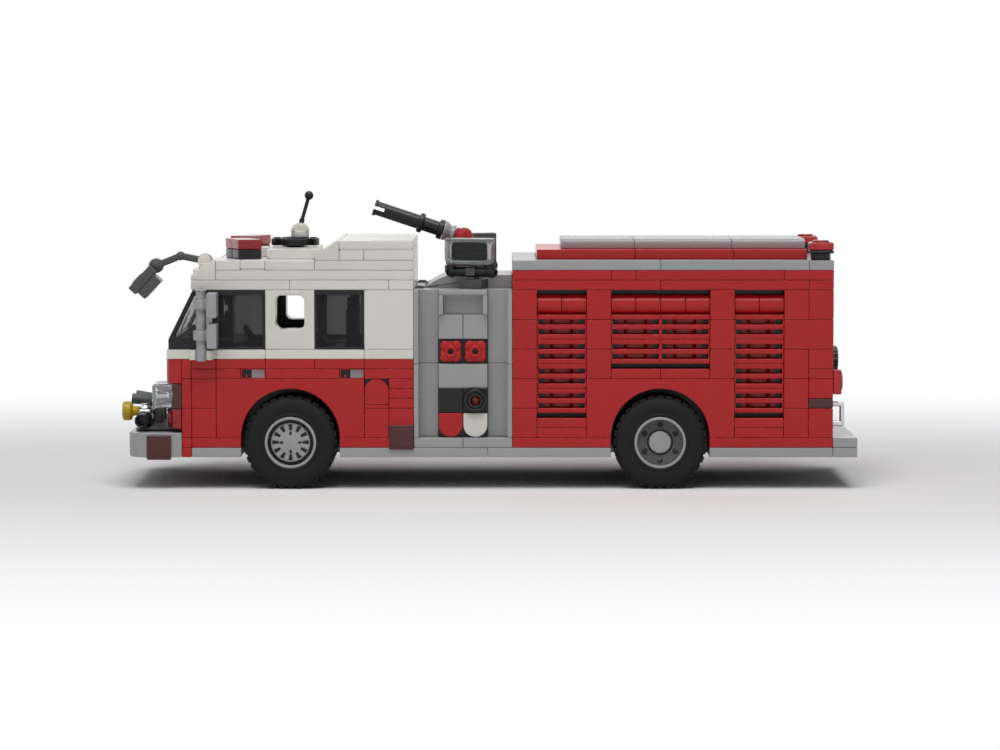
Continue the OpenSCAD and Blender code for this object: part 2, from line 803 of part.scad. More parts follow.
gun_x = sx(pump_mid);
gun_base_z = pz(deck_p);
hinge_up = 11.8;                         // height of the barrel's hinge over the roof
gun_z = gun_base_z + hinge_up;
gun_post = pin_d;
turntable_h = 0.8 * plate;
cheek_y = 0.7 * stud;

module monitor_base() {
    color(dark_grey) translate([gun_x, 0, gun_base_z]) {
        cylinder(d = 2 * stud, h = turntable_h);
        cylinder(d = gun_post, h = turntable_h + 1.4 * plate);
    }
}

module monitor_yoke() {
    foot = turntable_h + 0.15;
    collar_h = 1.7 * plate;
    eye = bar_d + 2.8;
    color(red) translate([gun_x, 0, gun_base_z]) difference() {
        union() {
            translate([0, 0, foot]) cylinder(d = 1.7 * stud, h = collar_h);
            for (s = sides) translate([0, s * cheek_y + wall / 2, 0]) rotate([90, 0, 0]) {
                translate([-eye / 2, foot + 1, 0]) cube([eye, hinge_up - foot - 1, wall]);
                translate([0, hinge_up, 0]) cylinder(d = eye, h = wall);
            }
        }
        translate([0, 0, -1]) cylinder(d = gun_post + 2 * running_fit, h = turntable_h + 1.4 * plate + 1.3);
        translate([0, cheek_y + wall, hinge_up]) rotate([90, 0, 0])
            cylinder(d = bar_d + 2 * running_fit, h = 2 * (cheek_y + wall));
    }
}

// The barrel lies along its own Z and starts a little ahead of its hinge
module monitor_barrel() {
    start = 8.1;
    cup_l = 4.4;
    boss = 2 * cheek_y - wall - 0.4;
    boss_d = 5.4;
    collar_d = 6.6;
    tip_lip = 0.4;
    color(black) translate([gun_x, 0, gun_z]) rotate([0, -90 + gun_lift, 0]) {
        rotate([90, 0, 0]) translate([0, 0, -cheek_y - wall / 2]) cylinder(d = bar_d, h = 2 * cheek_y + wall);
        rotate([90, 0, 0]) translate([0, 0, -boss / 2]) cylinder(d = boss_d, h = boss);
        cylinder(d = bar_d, h = start + 1);
        translate([0, 0, start - cup_l]) cylinder(d1 = pin_d - 0.8, d2 = collar_d, h = cup_l);
        translate([0, 0, start]) difference() {
            union() {
                cylinder(d = barrel_d, h = barrel_l);
                translate([0, 0, barrel_l - 1]) cylinder(d = barrel_d + 2 * tip_lip, h = 1);
            }
            translate([0, 0, barrel_l - 6]) cylinder(d = bar_d, h = 7);
            translate([-0.9, -barrel_d, barrel_l - 4]) cube([1.8, 2 * barrel_d, 5]);
        }
        translate([0, 0, start]) cylinder(d = collar_d, h = 1.6);
        translate([0, 0, start + 7]) cylinder(d = collar_d, h = 1.6);
    }
}

// ---------- equipment body ----------

module body_walls() {
    color(red) difference() {
        block(pump_x1, body_x1, -half, half, 2, trim_p);
        block(pump_x1 + 1, body_x1 - 1, -half + 1, half - 1, 1, trim_p + 1);
        both_sides()
            block(wheelbase - arch_half, wheelbase + arch_half, half - 2, half + 1, 1, arch_p);
        for (b = bays)
            both_sides() block(b[0], b[0] + b[1], half - 2, half + 1, b[2], eaves_p);
        both_sides() translate([sx(body_x1 - 1), half * stud - marker_t, pz(5)])
            cube([stud + 1, marker_t + 1, plate]);
    }
}

slat = 0.5 * plate;
drum_d = 2 * plate;
module_h = 5 * slat;                     // one grille module: three bars and two slots
shutter_deep = 0.4 * stud;               // thickness of a grille

module shutters() {
    face_y = (half - 0.1) * stud;
    color(red) both_sides() for (b = bays) {
        x0 = sx(b[0]);
        len = b[1] * stud;
        top = pz(eaves_p) - slat - drum_d;
        count = floor((top - pz(b[2] + 1)) / module_h + 0.01);
        for (k = [0:count - 1]) translate([x0, 0, top - (k + 1) * module_h]) {
            translate([0, face_y - shutter_deep, 0]) cube([len, shutter_deep / 2, module_h]);
            for (i = [0, 2, 4])
                translate([0, face_y - shutter_deep / 2, i * slat]) cube([len, shutter_deep / 2, slat]);
        }
        rod_x(b[0], b[0] + b[1], face_y - drum_d / 2, top + drum_d / 2 + 0.05, drum_d);
        translate([x0, (half - 1) * stud, pz(b[2])]) cube([len, stud, plate]);
    }
}

module roof_trim() {
    color(light_grey) difference() {
        block(pump_x1, body_x1, -half, half, trim_p, trim_p + 1);
        block(pump_x1 + 1, body_x1 - 1, -half + 1, half - 1, trim_p - 1, trim_p + 2);
    }
}

module hose_bed() {
    color(red) block(pump_x1 + 1, body_x1 - 1, -half + 1, half - 1, trim_p, trim_p + 2);
}

module hose_cover() {
    color(light_grey) block(pump_x1 + 2, body_x1 - 1, -half + 2, half - 2, trim_p + 2, trim_p + 3);
}

// ---------- rear ----------

module rear_lights() {
    color(lens_red) both_sides()
        translate([sx(body_x1), (half - 1) * stud, pz(6.4)]) cube([plate, stud, stud]);
}

module rear_port() {
    z = pz(9.3);
    color(light_grey) rod_x(body_x1, body_x1 + 0.2, 0, z, 1.4 * stud);
    color(black) rod_x(body_x1 + 0.2, body_x1 + 0.55, 0, z, stud);
}

// ---------- wheels ----------

module at_wheel(axle, side) {
    translate([sx(axle), 0, tyre_r]) mirror([0, side > 0 ? 0 : 1, 0]) children();
}

// Turns an outline of radius against distance from the middle about the axle
module turned() {
    rotate([-90, 0, 0]) rotate_extrude($fn = 96) children();
}

flange = 0.8;
tyre_out = half * stud;                  // outer face of a tyre
module tyre(axle, side) {
    r0 = rim_d / 2 + 0.05;
    shoulder = 1.2;
    color(black) at_wheel(axle, side) turned() polygon([
        [r0, tyre_out - tyre_w], [tyre_r - shoulder, tyre_out - tyre_w],
        [tyre_r, tyre_out - tyre_w + shoulder], [tyre_r, tyre_out - shoulder],
        [tyre_r - shoulder, tyre_out], [r0 + 0.45, tyre_out],
        [r0 + 0.45, tyre_out - flange], [r0, tyre_out - flange]
    ]);
}

module rim(axle, side, dish) {
    r1 = rim_d / 2;
    bore = pin_d / 2 + running_fit;
    hub = bore + 1.4;
    inner = (half - wheel_zone) * stud + 0.3;
    web = wheel_pin_end + 0.4;
    cap = dish ? web + 2 : tyre_out - 0.4;
    color(light_grey) at_wheel(axle, side) turned() polygon([
        [bore, inner], [hub, inner], [hub, web - 1.2], [r1 - 1, web - 1.2],
        [r1 - 1, tyre_out - tyre_w], [r1, tyre_out - tyre_w], [r1, tyre_out - flange],
        [r1 + 0.4, tyre_out - flange], [r1 + 0.4, tyre_out], [r1 - 0.5, tyre_out],
        [r1 - 0.5, web + 0.6], [hub + 1, web + 0.6], [hub + 1, cap], [0, cap],
        [0, web], [bore, web]
    ]);
}

module tyre_fl() { tyre(0, -1); }
module tyre_fr() { tyre(0, 1); }
module tyre_rl() { tyre(wheelbase, -1); }
module tyre_rr() { tyre(wheelbase, 1); }
module rim_fl() { rim(0, -1, false); }
module rim_fr() { rim(0, 1, false); }
module rim_rl() { rim(wheelbase, -1, true); }
module rim_rr() { rim(wheelbase, 1, true); }

chassis();
axle_holders();
base_plates();
bumper();
bumper_deck();
front_hose();
intake_cap();
air_horn();
pipe_fittings();
front_wall();
front_lights();
badge_tiles();
front_grille();
cab_walls();
fenders();
filler_doors();
side_markers();
belt();
grab_bars();
side_mirrors();
cab_pillars();
window_frames();
cab_glass();
windscreen_frame();
cab_interior();
cab_roof();
roof_box();
beacon_bases();
beacon_lenses();
roof_vent();
radar_disc();
antenna_lever();
mirror_arm();
pump_frame();
pump_tiles();
valve_wheels();
pump_ports();
pump_plates();
pump_roof();
floodlight_brackets();
lamp_backs();
floodlights();
monitor_base();
monitor_yoke();
monitor_barrel();
body_walls();
shutters();
roof_trim();
hose_bed();
hose_cover();
rear_lights();
rear_port();
tyre_fl();
tyre_fr();
tyre_rl();
tyre_rr();
rim_fl();
rim_fr();
rim_rl();
rim_rr();
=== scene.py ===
"""The looks of a toy fire engine built of interlocking bricks, laid out as an add-on."""

import json
import math
from contextlib import contextmanager

import bpy
from mathutils import Matrix, Vector


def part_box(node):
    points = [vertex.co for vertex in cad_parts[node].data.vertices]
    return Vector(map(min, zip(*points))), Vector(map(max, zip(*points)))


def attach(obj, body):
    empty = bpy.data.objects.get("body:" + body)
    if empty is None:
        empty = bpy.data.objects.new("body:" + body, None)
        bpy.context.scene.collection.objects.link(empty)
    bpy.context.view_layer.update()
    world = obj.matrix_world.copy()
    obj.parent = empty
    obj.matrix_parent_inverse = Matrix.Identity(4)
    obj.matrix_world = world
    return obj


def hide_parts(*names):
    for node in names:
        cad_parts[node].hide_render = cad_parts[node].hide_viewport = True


bl_info = {
    "name": "Brick fire engine",
    "version": (1, 0, 0),
    "blender": (4, 5, 0),
    "location": "View3D > Sidebar > Fire engine",
    "description": "Builds the bricks, tiles and fittings of a toy fire engine round its frame",
    "category": "Add Mesh",
}

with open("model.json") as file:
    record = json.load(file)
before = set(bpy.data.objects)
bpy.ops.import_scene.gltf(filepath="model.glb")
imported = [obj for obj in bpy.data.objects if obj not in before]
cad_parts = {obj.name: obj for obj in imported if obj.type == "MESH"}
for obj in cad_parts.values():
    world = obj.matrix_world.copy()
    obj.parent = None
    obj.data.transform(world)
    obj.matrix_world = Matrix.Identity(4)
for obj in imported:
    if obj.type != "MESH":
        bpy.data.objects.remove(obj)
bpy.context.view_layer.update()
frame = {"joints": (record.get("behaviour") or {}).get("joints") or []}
joints = {joint["name"]: joint for joint in frame["joints"]}

# ---------- the brick grid, read from the frame, in millimetres ----------

MM = 1000


def low(node):
    """The lowest corner of a CAD node, in millimetres."""
    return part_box(node)[0] * MM


def high(node):
    """The highest corner of a CAD node, in millimetres."""
    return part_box(node)[1] * MM


def pivot(joint):
    """Where a joint turns, in millimetres."""
    return Vector(joints[joint]["pos_m"]) * MM


PLATE = high("roof_trim").z - low("roof_trim").z
STUD = (high("roof_box").x - low("roof_box").x) / 4
AXLE_X = pivot("wheel_fl_spin").x
REAR_AXLE = round((pivot("wheel_rl_spin").x - AXLE_X) / STUD)
FLOOR_Z = low("chassis").z
HALF = high("body_walls").y / STUD
SIDE_Y = HALF * STUD
BAR_R = 1.59
PIN_R = 2.4
STUD_H = 1.7
# Bends under the first angle aren't softened; edges over the second are shaded sharp
SOFT_BEND, SHARP_EDGE = math.radians(35), math.radians(50)
WALL = 1.6
# Room left round a block that isn't a plain brick
SLIT = 0.04

# Heights in plates
ARCH, BELT, GLASS, EAVES, ROOF, TRIM = 8, 10, 11, 17, 20, 19
# Lengths in studs
CAB_FRONT, CAB_BACK, PUMP_BACK = -4, 5, 9
BODY_BACK = round((high("body_walls").x - AXLE_X) / STUD)
AXLES = (0, REAR_AXLE)


def sx(studs):
    """Place along the vehicle of a count of studs behind the front axle."""
    return AXLE_X + studs * STUD


def pz(plates):
    """Height of a count of plates over the underside of the chassis."""
    return FLOOR_Z + plates * PLATE


def runs(start, end, longest):
    """Splits a length of studs into bricks no longer than longest."""
    places = [start]
    while places[-1] + longest < end:
        places.append(places[-1] + longest)
    return spans(places + [end])


def spans(cuts):
    """Pairs of neighbouring cuts."""
    return list(zip(cuts, cuts[1:]))


# ---------- sizes and colours that can be changed ----------


class BrickSizes(bpy.types.PropertyGroup):
    """Sizes of the moulded details."""

    soft_edge: bpy.props.FloatProperty(
        name="Soft edge", description="Rounding of a brick's edges, in millimetres",
        default=0.2, min=0.05, max=0.4)
    seam: bpy.props.FloatProperty(
        name="Seam", description="Gap between neighbouring bricks, in millimetres",
        default=0.07, min=0.02, max=0.2)
    steps: bpy.props.IntProperty(
        name="Steps of a circle", description="Sides of a turned piece", default=48, min=24, max=96)
    lugs: bpy.props.IntProperty(
        name="Tread lugs", description="Lugs round each edge of a tyre", default=32, min=16, max=60)
    spokes: bpy.props.IntProperty(
        name="Spokes", description="Spokes of a front wheel", default=12, min=5, max=20)
    rib_pitch: bpy.props.FloatProperty(
        name="Rib pitch", description="Distance between the ribs of the hose, in millimetres",
        default=1.3, min=0.8, max=2.5)


def colour(name, description, value):
    """A colour property."""
    return bpy.props.FloatVectorProperty(
        name=name, description=description, subtype="COLOR", size=3, min=0, max=1, default=value)


class BrickColours(bpy.types.PropertyGroup):
    """Colours of the moulded plastics."""

    red: colour("Red", "Bodywork, shutters and valves", (0.47, 0.012, 0.014))
    white: colour("White", "Upper cab and roof", (0.78, 0.76, 0.71))
    light_grey: colour("Light grey", "Chassis, pump panel and trim", (0.38, 0.385, 0.39))
    dark_grey: colour("Dark grey", "Mirror arm, horns and brackets", (0.085, 0.086, 0.088))
    black: colour("Black", "Window frames, hoses and deck gun", (0.009, 0.009, 0.010))
    yellow: colour("Yellow", "Cap of the intake", (0.50, 0.34, 0.01))
    silver: colour("Silver", "Pipe fittings", (0.62, 0.63, 0.65))
    red_lens: colour("Red lens", "Markers and beacons", (0.55, 0.012, 0.018))
    clear_lens: colour("Clear lens", "Headlamps and floodlights", (0.80, 0.83, 0.85))
    glass: colour("Glass", "Windows", (0.016, 0.016, 0.018))
    screen: colour("Windscreen", "Windscreen", (0.14, 0.13, 0.12))
    marker: colour("Marker", "Side markers", (0.10, 0.028, 0.028))
    rubber: colour("Rubber", "Tyres", (0.011, 0.011, 0.0115))


# ---------- outlines ----------


def area(points):
    """Signed area of an outline: positive where it runs anticlockwise."""
    return sum(a[0] * b[1] - b[0] * a[1] for a, b in zip(points, points[1:] + points[:1])) / 2


def soften(points, edge, keep_axis=False):
    """Cuts the corners off an outline; those on the axis of a turned piece stay."""
    result = []
    for before, here, after in zip(points[-1:] + points[:-1], points, points[1:] + points[:1]):
        a, b, c = Vector(before), Vector(here), Vector(after)
        bend = (b - a).angle(c - b, 0)
        if bend < SOFT_BEND or (keep_axis and here[0] < 1e-6):
            result.append(tuple(here))
            continue
        cut_a = min(edge, (b - a).length * 0.4)
        cut_c = min(edge, (c - b).length * 0.4)
        result += [tuple(b + (a - b).normalized() * cut_a), tuple(b + (c - b).normalized() * cut_c)]
    return result


def inset(points, depth):
    """Moves an anticlockwise outline inwards by depth."""
    result = []
    for before, here, after in zip(points[-1:] + points[:-1], points, points[1:] + points[:1]):
        a, b, c = Vector(before), Vector(here), Vector(after)
        u, v = (b - a).normalized(), (c - b).normalized()
        n, m = Vector((-u.y, u.x)), Vector((-v.y, v.x))
        result.append(tuple(b + (n + m) * (depth / max(0.35, 1 + n.dot(m)))))
    return result


def ray_hit(centre, direction, points):
    """Where a ray from inside a convex outline leaves it."""
    for a, b in zip(points, points[1:] + points[:1]):
        a, b = Vector(a), Vector(b)
        side = b - a
        det = direction.x * side.y - direction.y * side.x
        if abs(det) < 1e-12:
            continue
        gap = a - centre
        along = (gap.x * side.y - gap.y * side.x) / det
        share = (gap.x * direction.y - gap.y * direction.x) / det
        if along > 0 and -1e-7 <= share <= 1 + 1e-7:
            return tuple(centre + direction * along)
    raise ValueError("the hole's middle lies outside the outline")


def matched(outer, hole):
    """Gives a convex outline and its hole the same number of points, seen from the hole's middle."""
    centre = Vector((sum(p[0] for p in hole) / len(hole), sum(p[1] for p in hole) / len(hole)))
    angles = sorted(math.atan2(p[1] - centre.y, p[0] - centre.x) for p in outer + hole)
    angles = [a for a, b in zip(angles, angles[1:] + [angles[0] + math.tau]) if b - a > 1e-4]
    rays = [Vector((math.cos(a), math.sin(a))) for a in angles]
    return [ray_hit(centre, r, outer) for r in rays], [ray_hit(centre, r, hole) for r in rays]


def rectangle(x0, x1, y0, y1):
    """An anticlockwise rectangle."""
    return [(x0, y0), (x1, y0), (x1, y1), (x0, y1)]


def rounded(x0, x1, y0, y1, radius, steps=6):
    """A rectangle with round corners."""
    result = []
    for index, (cx, cy) in enumerate(((x1, y0), (x1, y1), (x0, y1), (x0, y0))):
        mx = cx - math.copysign(radius, cx - (x0 + x1) / 2)
        my = cy - math.copysign(radius, cy - (y0 + y1) / 2)
        for k in range(steps + 1):
            a = math.radians(-90 + 90 * index + 90 * k / steps)
            result.append((mx + radius * math.cos(a), my + radius * math.sin(a)))
    return result


def arc(cx, cy, radius, start, end, steps):
    """Points along an arc, from start to end in degrees."""
    turns = [math.radians(start + (end - start) * k / steps) for k in range(steps + 1)]
    return [(cx + radius * math.cos(a), cy + radius * math.sin(a)) for a in turns]


AXIS_ORDER = {"x": (2, 0, 1), "y": (0, 2, 1), "z": (0, 1, 2)}


def on_axis(axis, across, along):
    """A point from its two places across an axis and its one along it."""
    spread = (across[0], across[1], along)
    order = AXIS_ORDER[axis]
    return tuple(spread[k] for k in order)


def ring_places(count, radius, start=0):
    """Places spread evenly round a circle, the first of them at start degrees."""
    turns = [math.radians(start + 360 * k / count) for k in range(count)]
    return [(radius * math.cos(a), radius * math.sin(a)) for a in turns]


def turned(degrees, axis, place=(0, 0, 0)):
    """A turn round an axis through a place, and the move to that place."""
    return Matrix.Translation(place) @ Matrix.Rotation(math.radians(degrees), 4, axis)


# ---------- pieces ----------

# From one brick's tone to the next: the golden section, so that neighbours differ.
TONE_STEP = 0.618034


def both_sides(*shapes):
    """Runs a loop twice for some shapes: as written, and mirrored to the near side."""
    for side in (1, -1):
        for shape in shapes:
            shape.place = mirrored(side)
        yield side
    for shape in shapes:
        shape.place = Matrix.Identity(4)


def mirrored(side):
    """Nothing for the far side, 1, and a mirror image for the near side, -1."""
    return Matrix.Scale(side, 4, (0, 1, 0))


@contextmanager
def moved(matrix, *shapes):
    """Places what is added to some shapes inside the with block by a matrix."""
    kept = [shape.place for shape in shapes]
    for shape in shapes:
        shape.place = shape.place @ matrix
    yield
    for shape, place in zip(shapes, kept):
        shape.place = place


class Shape:
    """Collects the bricks of one piece, in millimetres, and makes one mesh object of them."""

    def __init__(self):
        self.sizes = bpy.context.scene.brick_sizes
        self.points = []
        self.faces = []
        self.tones = []
        self.rims = []
        self.place = Matrix.Identity(4)
        self.bricks = 0

    def add(self, points, faces, rims=()):
        """Adds a closed solid, and turns its faces outwards. Rims are the faces of soft edges."""
        placed = [self.place @ Vector(p) for p in points]
        volume = 0
        for face in faces:
            a = placed[face[0]]
            for k, m in zip(face[1:], face[2:]):
                volume += a.dot(placed[k].cross(placed[m]))
        start = len(self.points)
        self.points += [tuple(p) for p in placed]
        for index, face in enumerate(faces):
            turned = face if volume > 0 else face[::-1]
            self.faces.append([start + k for k in turned])
            self.tones.append(self.bricks * TONE_STEP % 1)
            self.rims.append(1.0 if index in rims else 0.0)
        self.bricks += 1

    def prism(self, outline, start, end, axis="y", hole=None, edge=None):
        """An outline pulled from start to end along an axis, with soft edges."""
        start, end = min(start, end), max(start, end)
        edge = min(self.sizes.soft_edge if edge is None else edge, (end - start) / 3)
        loops = [list(outline) if area(outline) > 0 else list(outline)[::-1]]
        loops[0] = soften(loops[0], edge)
        if hole:
            inner = list(hole) if area(hole) > 0 else list(hole)[::-1]
            loops = list(matched(loops[0], soften(inner, edge)))
        points, faces, rims = [], [], set()
        count = len(loops[0])
        for index, loop in enumerate(loops):
            shrunk = inset(loop, edge if index == 0 else -edge)
            base = len(points)
            for depth, ring in ((start, shrunk), (start + edge, loop), (end - edge, loop), (end, shrunk)):
                points += [on_axis(axis, p, depth) for p in ring]
            for band in range(3):
                for k in range(count):
                    m = (k + 1) % count
                    a, b = base + band * count, base + (band + 1) * count
                    quad = [a + k, a + m, b + m, b + k]
                    if band != 1:
                        rims.add(len(faces))
                    faces.append(quad if index == 0 else quad[::-1])
        if hole:
            for k in range(count):
                m = (k + 1) % count
                low_out, low_in = 0, 4 * count
                top_out, top_in = 3 * count, 7 * count
                faces.append([low_out + m, low_out + k, low_in + k, low_in + m])
                faces.append([top_out + k, top_out + m, top_in + m, top_in + k])
        else:
            faces.append(list(range(count))[::-1])
            faces.append(list(range(3 * count, 4 * count)))
        self.add(points, faces, rims)

    def lathe(self, profile, centre=(0, 0, 0), axis="z", steps=None, edge=None):
        """A closed profile of distances from and along an axis, turned right round it."""
        steps = steps or self.sizes.steps
        edge = self.sizes.soft_edge if edge is None else edge
        profile = soften(list(profile), edge, keep_axis=True)
        points, rings, faces = [], [], []
        for radius, along in profile:
            if radius < 1e-6:
                rings.append([len(points)])
                points.append(on_axis(axis, (0, 0), along))
                continue
            rings.append(list(range(len(points), len(points) + steps)))
            for k in range(steps):
                a = math.tau * k / steps
                points.append(on_axis(axis, (radius * math.cos(a), radius * math.sin(a)), along))
        for one, two in zip(rings, rings[1:] + rings[:1]):
            if len(one) == 1 and len(two) == 1:
                continue
            for k in range(steps):
                m = (k + 1) % steps
                if len(one) == 1:
                    faces.append([one[0], two[m], two[k]])
                elif len(two) == 1:
                    faces.append([one[k], one[m], two[0]])
                else:
                    faces.append([one[k], one[m], two[m], two[k]])
        with moved(Matrix.Translation(centre), self):
            self.add(points, faces)

    def box(self, x0, x1, y0, y1, z0, z1, edge=None):
        """A soft-edged block between places in millimetres."""
        self.prism(rectangle(x0, x1, z0, z1), y0, y1, "y", edge=edge)

    def brick(self, xa, xb, ya, yb, pa, pb):
        """A block between studs and plates, a seam's width smaller than its place."""
        gap = self.sizes.seam / 2
        self.box(sx(xa) + gap, sx(xb) - gap, ya * STUD + gap, yb * STUD - gap, pz(pa) + gap, pz(pb) - gap)

    def lay(self, lengths, widths, layers):
        """A brick for each length, width and layer, all given by their two ends."""
        for xa, xb in lengths:
            for ya, yb in widths:
                for pa, pb in layers:
                    self.brick(xa, xb, ya, yb, pa, pb)

    def lay_across(self, xa, xb, cuts, layers):
        """Rows of bricks across the vehicle, cut at the same places in each layer."""
        for pa, pb in layers:
            self.lay([(xa, xb)], spans(cuts), [(pa, pb)])

    def rod(self, centre, axis, radius, start, end, edge=None, steps=None):
        """A soft-edged cylinder."""
        self.lathe([(0, start), (radius, start), (radius, end), (0, end)], centre, axis, steps, edge)

    def ring(self, centre, axis, inner, outer, start, end, edge=None, steps=None):
        """A soft-edged tube."""
        self.lathe([(inner, start), (outer, start), (outer, end), (inner, end)], centre, axis, steps, edge)

    def ball(self, centre, radius, axis="z", steps=None):
        """A ball."""
        profile = [(x if x > 1e-4 else 0, y) for x, y in arc(0, 0, radius, -90, 90, 12)]
        self.lathe(profile, centre, axis, steps, edge=0.05)

    def stud(self, xa, ya, p):
        """A stud in the middle of a grid place, on top of a height in plates."""
        self.rod((sx(xa), ya * STUD, 0), "z", PIN_R, pz(p) - 0.1, pz(p) + STUD_H, edge=0.15, steps=24)

    def mesh(self, name):
        """A mesh of everything collected so far, in metres."""
        mesh = bpy.data.meshes.new(name)
        mesh.from_pydata([(x / MM, y / MM, z / MM) for x, y, z in self.points], [], self.faces)
        mesh.polygons.foreach_set("use_smooth", [True] * len(mesh.polygons))
        for label, values in (("brick_tone", self.tones), ("soft_rim", self.rims)):
            mesh.attributes.new(label, "FLOAT", "FACE").data.foreach_set("value", values)
        mesh.set_sharp_from_angle(angle=SHARP_EDGE)
        return mesh

    def make(self, name, finish, *stands_for, body="truck", slot=None):
        """Makes the piece: its object, finish, the CAD nodes it stands for, and its body."""
        settle(bpy.data.objects.new(name, self.mesh(name)), finish, stands_for, body)


def settle(piece, finish, stands_for=(), body="truck"):
    """Links a piece, gives it its finish and even shading, parents it to its body, and hides the CAD nodes
    it stands for.
    """
    if piece.name not in bpy.context.scene.collection.objects:
        bpy.context.scene.collection.objects.link(piece)
    piece.data.materials.clear()
    piece.data.materials.append(FINISHES[finish])
    even = piece.modifiers.new("even_shading", "WEIGHTED_NORMAL")
    even.keep_sharp = True
    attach(piece, body)
    if stands_for:
        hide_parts(*stands_for)


# ---------- finishes ----------

FINISHES = {}


class Wire:
    """A socket that takes part in Python sums; each sum adds a Math node."""

    def __init__(self, recipe, socket):
        self.recipe = recipe
        self.socket = socket

    def maths(self, operation, first, second):
        """A Math node of two values."""
        return self.recipe.node("ShaderNodeMath", {0: first, 1: second}, operation=operation)

    def __add__(self, other):
        return self.maths("ADD", self, other)

    def __radd__(self, other):
        return self.maths("ADD", other, self)

    def __sub__(self, other):
        return self.maths("SUBTRACT", self, other)

    def __rsub__(self, other):
        return self.maths("SUBTRACT", other, self)

    def __mul__(self, other):
        return self.maths("MULTIPLY", self, other)

    def __rmul__(self, other):
        return self.maths("MULTIPLY", other, self)

    def between(self, start, end):
        """0 below start, 1 over end, and smooth between."""
        return self.recipe.node(
            "ShaderNodeMapRange", {"Value": self, "From Min": start, "From Max": end},
            interpolation_type="SMOOTHSTEP")


class Recipe:
    """The nodes of one finish."""

    def __init__(self, name):
        self.material = bpy.data.materials.new(name)
        self.material.use_nodes = True
        self.tree = self.material.node_tree
        self.tree.nodes.clear()

    def node(self, kind, values=None, output=0, **settings):
        """Adds a node: settings first, then the values or wires of its sockets."""
        made = self.tree.nodes.new(kind)
        for name, value in settings.items():
            setattr(made, name, value)
        for name, value in (values or {}).items():
            if isinstance(value, Wire):
                self.tree.links.new(value.socket, made.inputs[name])
            else:
                made.inputs[name].default_value = value
        return Wire(self, made.outputs[output]) if len(made.outputs) else made

    def coordinates(self):
        """Object coordinates."""
        return self.node("ShaderNodeTexCoord", output=3)

    def noise(self, scale, detail=2.0, stretch=None):
        """A noise of object coordinates, with its own stretch along each axis."""
        where = self.coordinates()
        if stretch:
            where = self.node("ShaderNodeMapping", {"Vector": where, "Scale": stretch})
        return self.node("ShaderNodeTexNoise", {"Vector": where, "Scale": scale, "Detail": detail})

    def attribute(self, name):
        """A number kept on the mesh."""
        return self.node("ShaderNodeAttribute", output=2, attribute_name=name)

    def mix(self, share, first, second):
        """A mix of two colours."""
        return self.node("ShaderNodeMix", {0: share, 6: first, 7: second}, output=2, data_type="RGBA")

    def bump(self, height, strength, distance):
        """A normal from heights in metres times distance."""
        return self.node("ShaderNodeBump", {"Height": height, "Strength": strength, "Distance": distance})

    def finish(self, constants, **varied):
        """Ends the tree in one Principled shader."""
        values = {name.replace("_", " ").title(): value for name, value in varied.items()}
        shader = self.node("ShaderNodeBsdfPrincipled", {**constants, **values})
        self.node("ShaderNodeOutputMaterial", {"Surface": shader})
        return self.material


def shade(value, factor):
    """A colour with its brightness multiplied."""
    return (*[min(1, channel * factor) for channel in value[:3]], 1)


def moulded(name, value, roughness, metallic=0.0, clear=0.0, spread=0.05):
    """Moulded plastic: each brick's own tone, faint flow marks, fine scratches, and soft edges lightened in
    patches, partly as rubbed wear and partly as a painted highlight.
    """
    recipe = Recipe(name)
    cloud = recipe.noise(90, 3)
    grain = recipe.noise(2600, 2)
    scratch = recipe.noise(60, 2, (1, 1, 42)).between(0.60, 0.68)
    rub_and_highlight = recipe.noise(420, 3).between(0.42, 0.62)
    rim = recipe.attribute("soft_rim")
    tone = recipe.attribute("brick_tone")
    level = tone * 0.55 + cloud * 0.45
    base = recipe.mix(level, shade(value, 1 - spread), shade(value, 1 + spread))
    # Soft-edge faces lighter in patches: partly rubbed wear, partly a painted highlight along the edges.
    worn_and_highlit = recipe.mix(rim * rub_and_highlight * 0.16, base, shade(tuple(c * 0.7 + 0.16 for c in value), 1))
    rough = roughness + cloud * 0.10 + scratch * 0.05 + rim * 0.06 - 0.05
    height = grain * 0.35 + cloud * 0.9 + scratch * -0.04
    constants = {
        "Specular IOR Level": 0.3, "IOR": 1.5, "Metallic": metallic,
        "Transmission Weight": clear, "Coat Weight": 0.0,
    }
    return recipe.finish(
        constants, base_color=worn_and_highlit, roughness=rough, normal=recipe.bump(height, 0.18, 0.00006))


def rubber(name, value):
    """Tyre rubber: matt, finely pitted, dusty in patches."""
    recipe = Recipe(name)
    pits = recipe.noise(1800, 4)
    dust = recipe.noise(160, 4).between(0.42, 0.75)
    base = recipe.mix(dust * 0.5, shade(value, 0.9), shade(tuple(c + 0.016 for c in value), 1))
    rough = 0.62 + dust * 0.2 + pits * 0.1
    return recipe.finish(
        {"Specular IOR Level": 0.2}, base_color=base, roughness=rough,
        normal=recipe.bump(pits, 0.5, 0.00012))


def pane(name, value, opacity):
    """Clear moulded panes: a thin tint that shows what is behind, with a glossy face."""
    recipe = Recipe(name)
    cloud = recipe.noise(70, 2)
    smear = recipe.noise(240, 3, (1, 1, 0.3)).between(0.52, 0.72)
    base = recipe.mix(cloud, shade(value, 0.8), shade(value, 1.1))
    alpha = opacity + smear * 0.05 + cloud * 0.05
    return recipe.finish(
        {"Specular IOR Level": 0.2}, base_color=base, alpha=alpha,
        roughness=0.04 + smear * 0.1, normal=recipe.bump(cloud, 0.1, 0.0001))


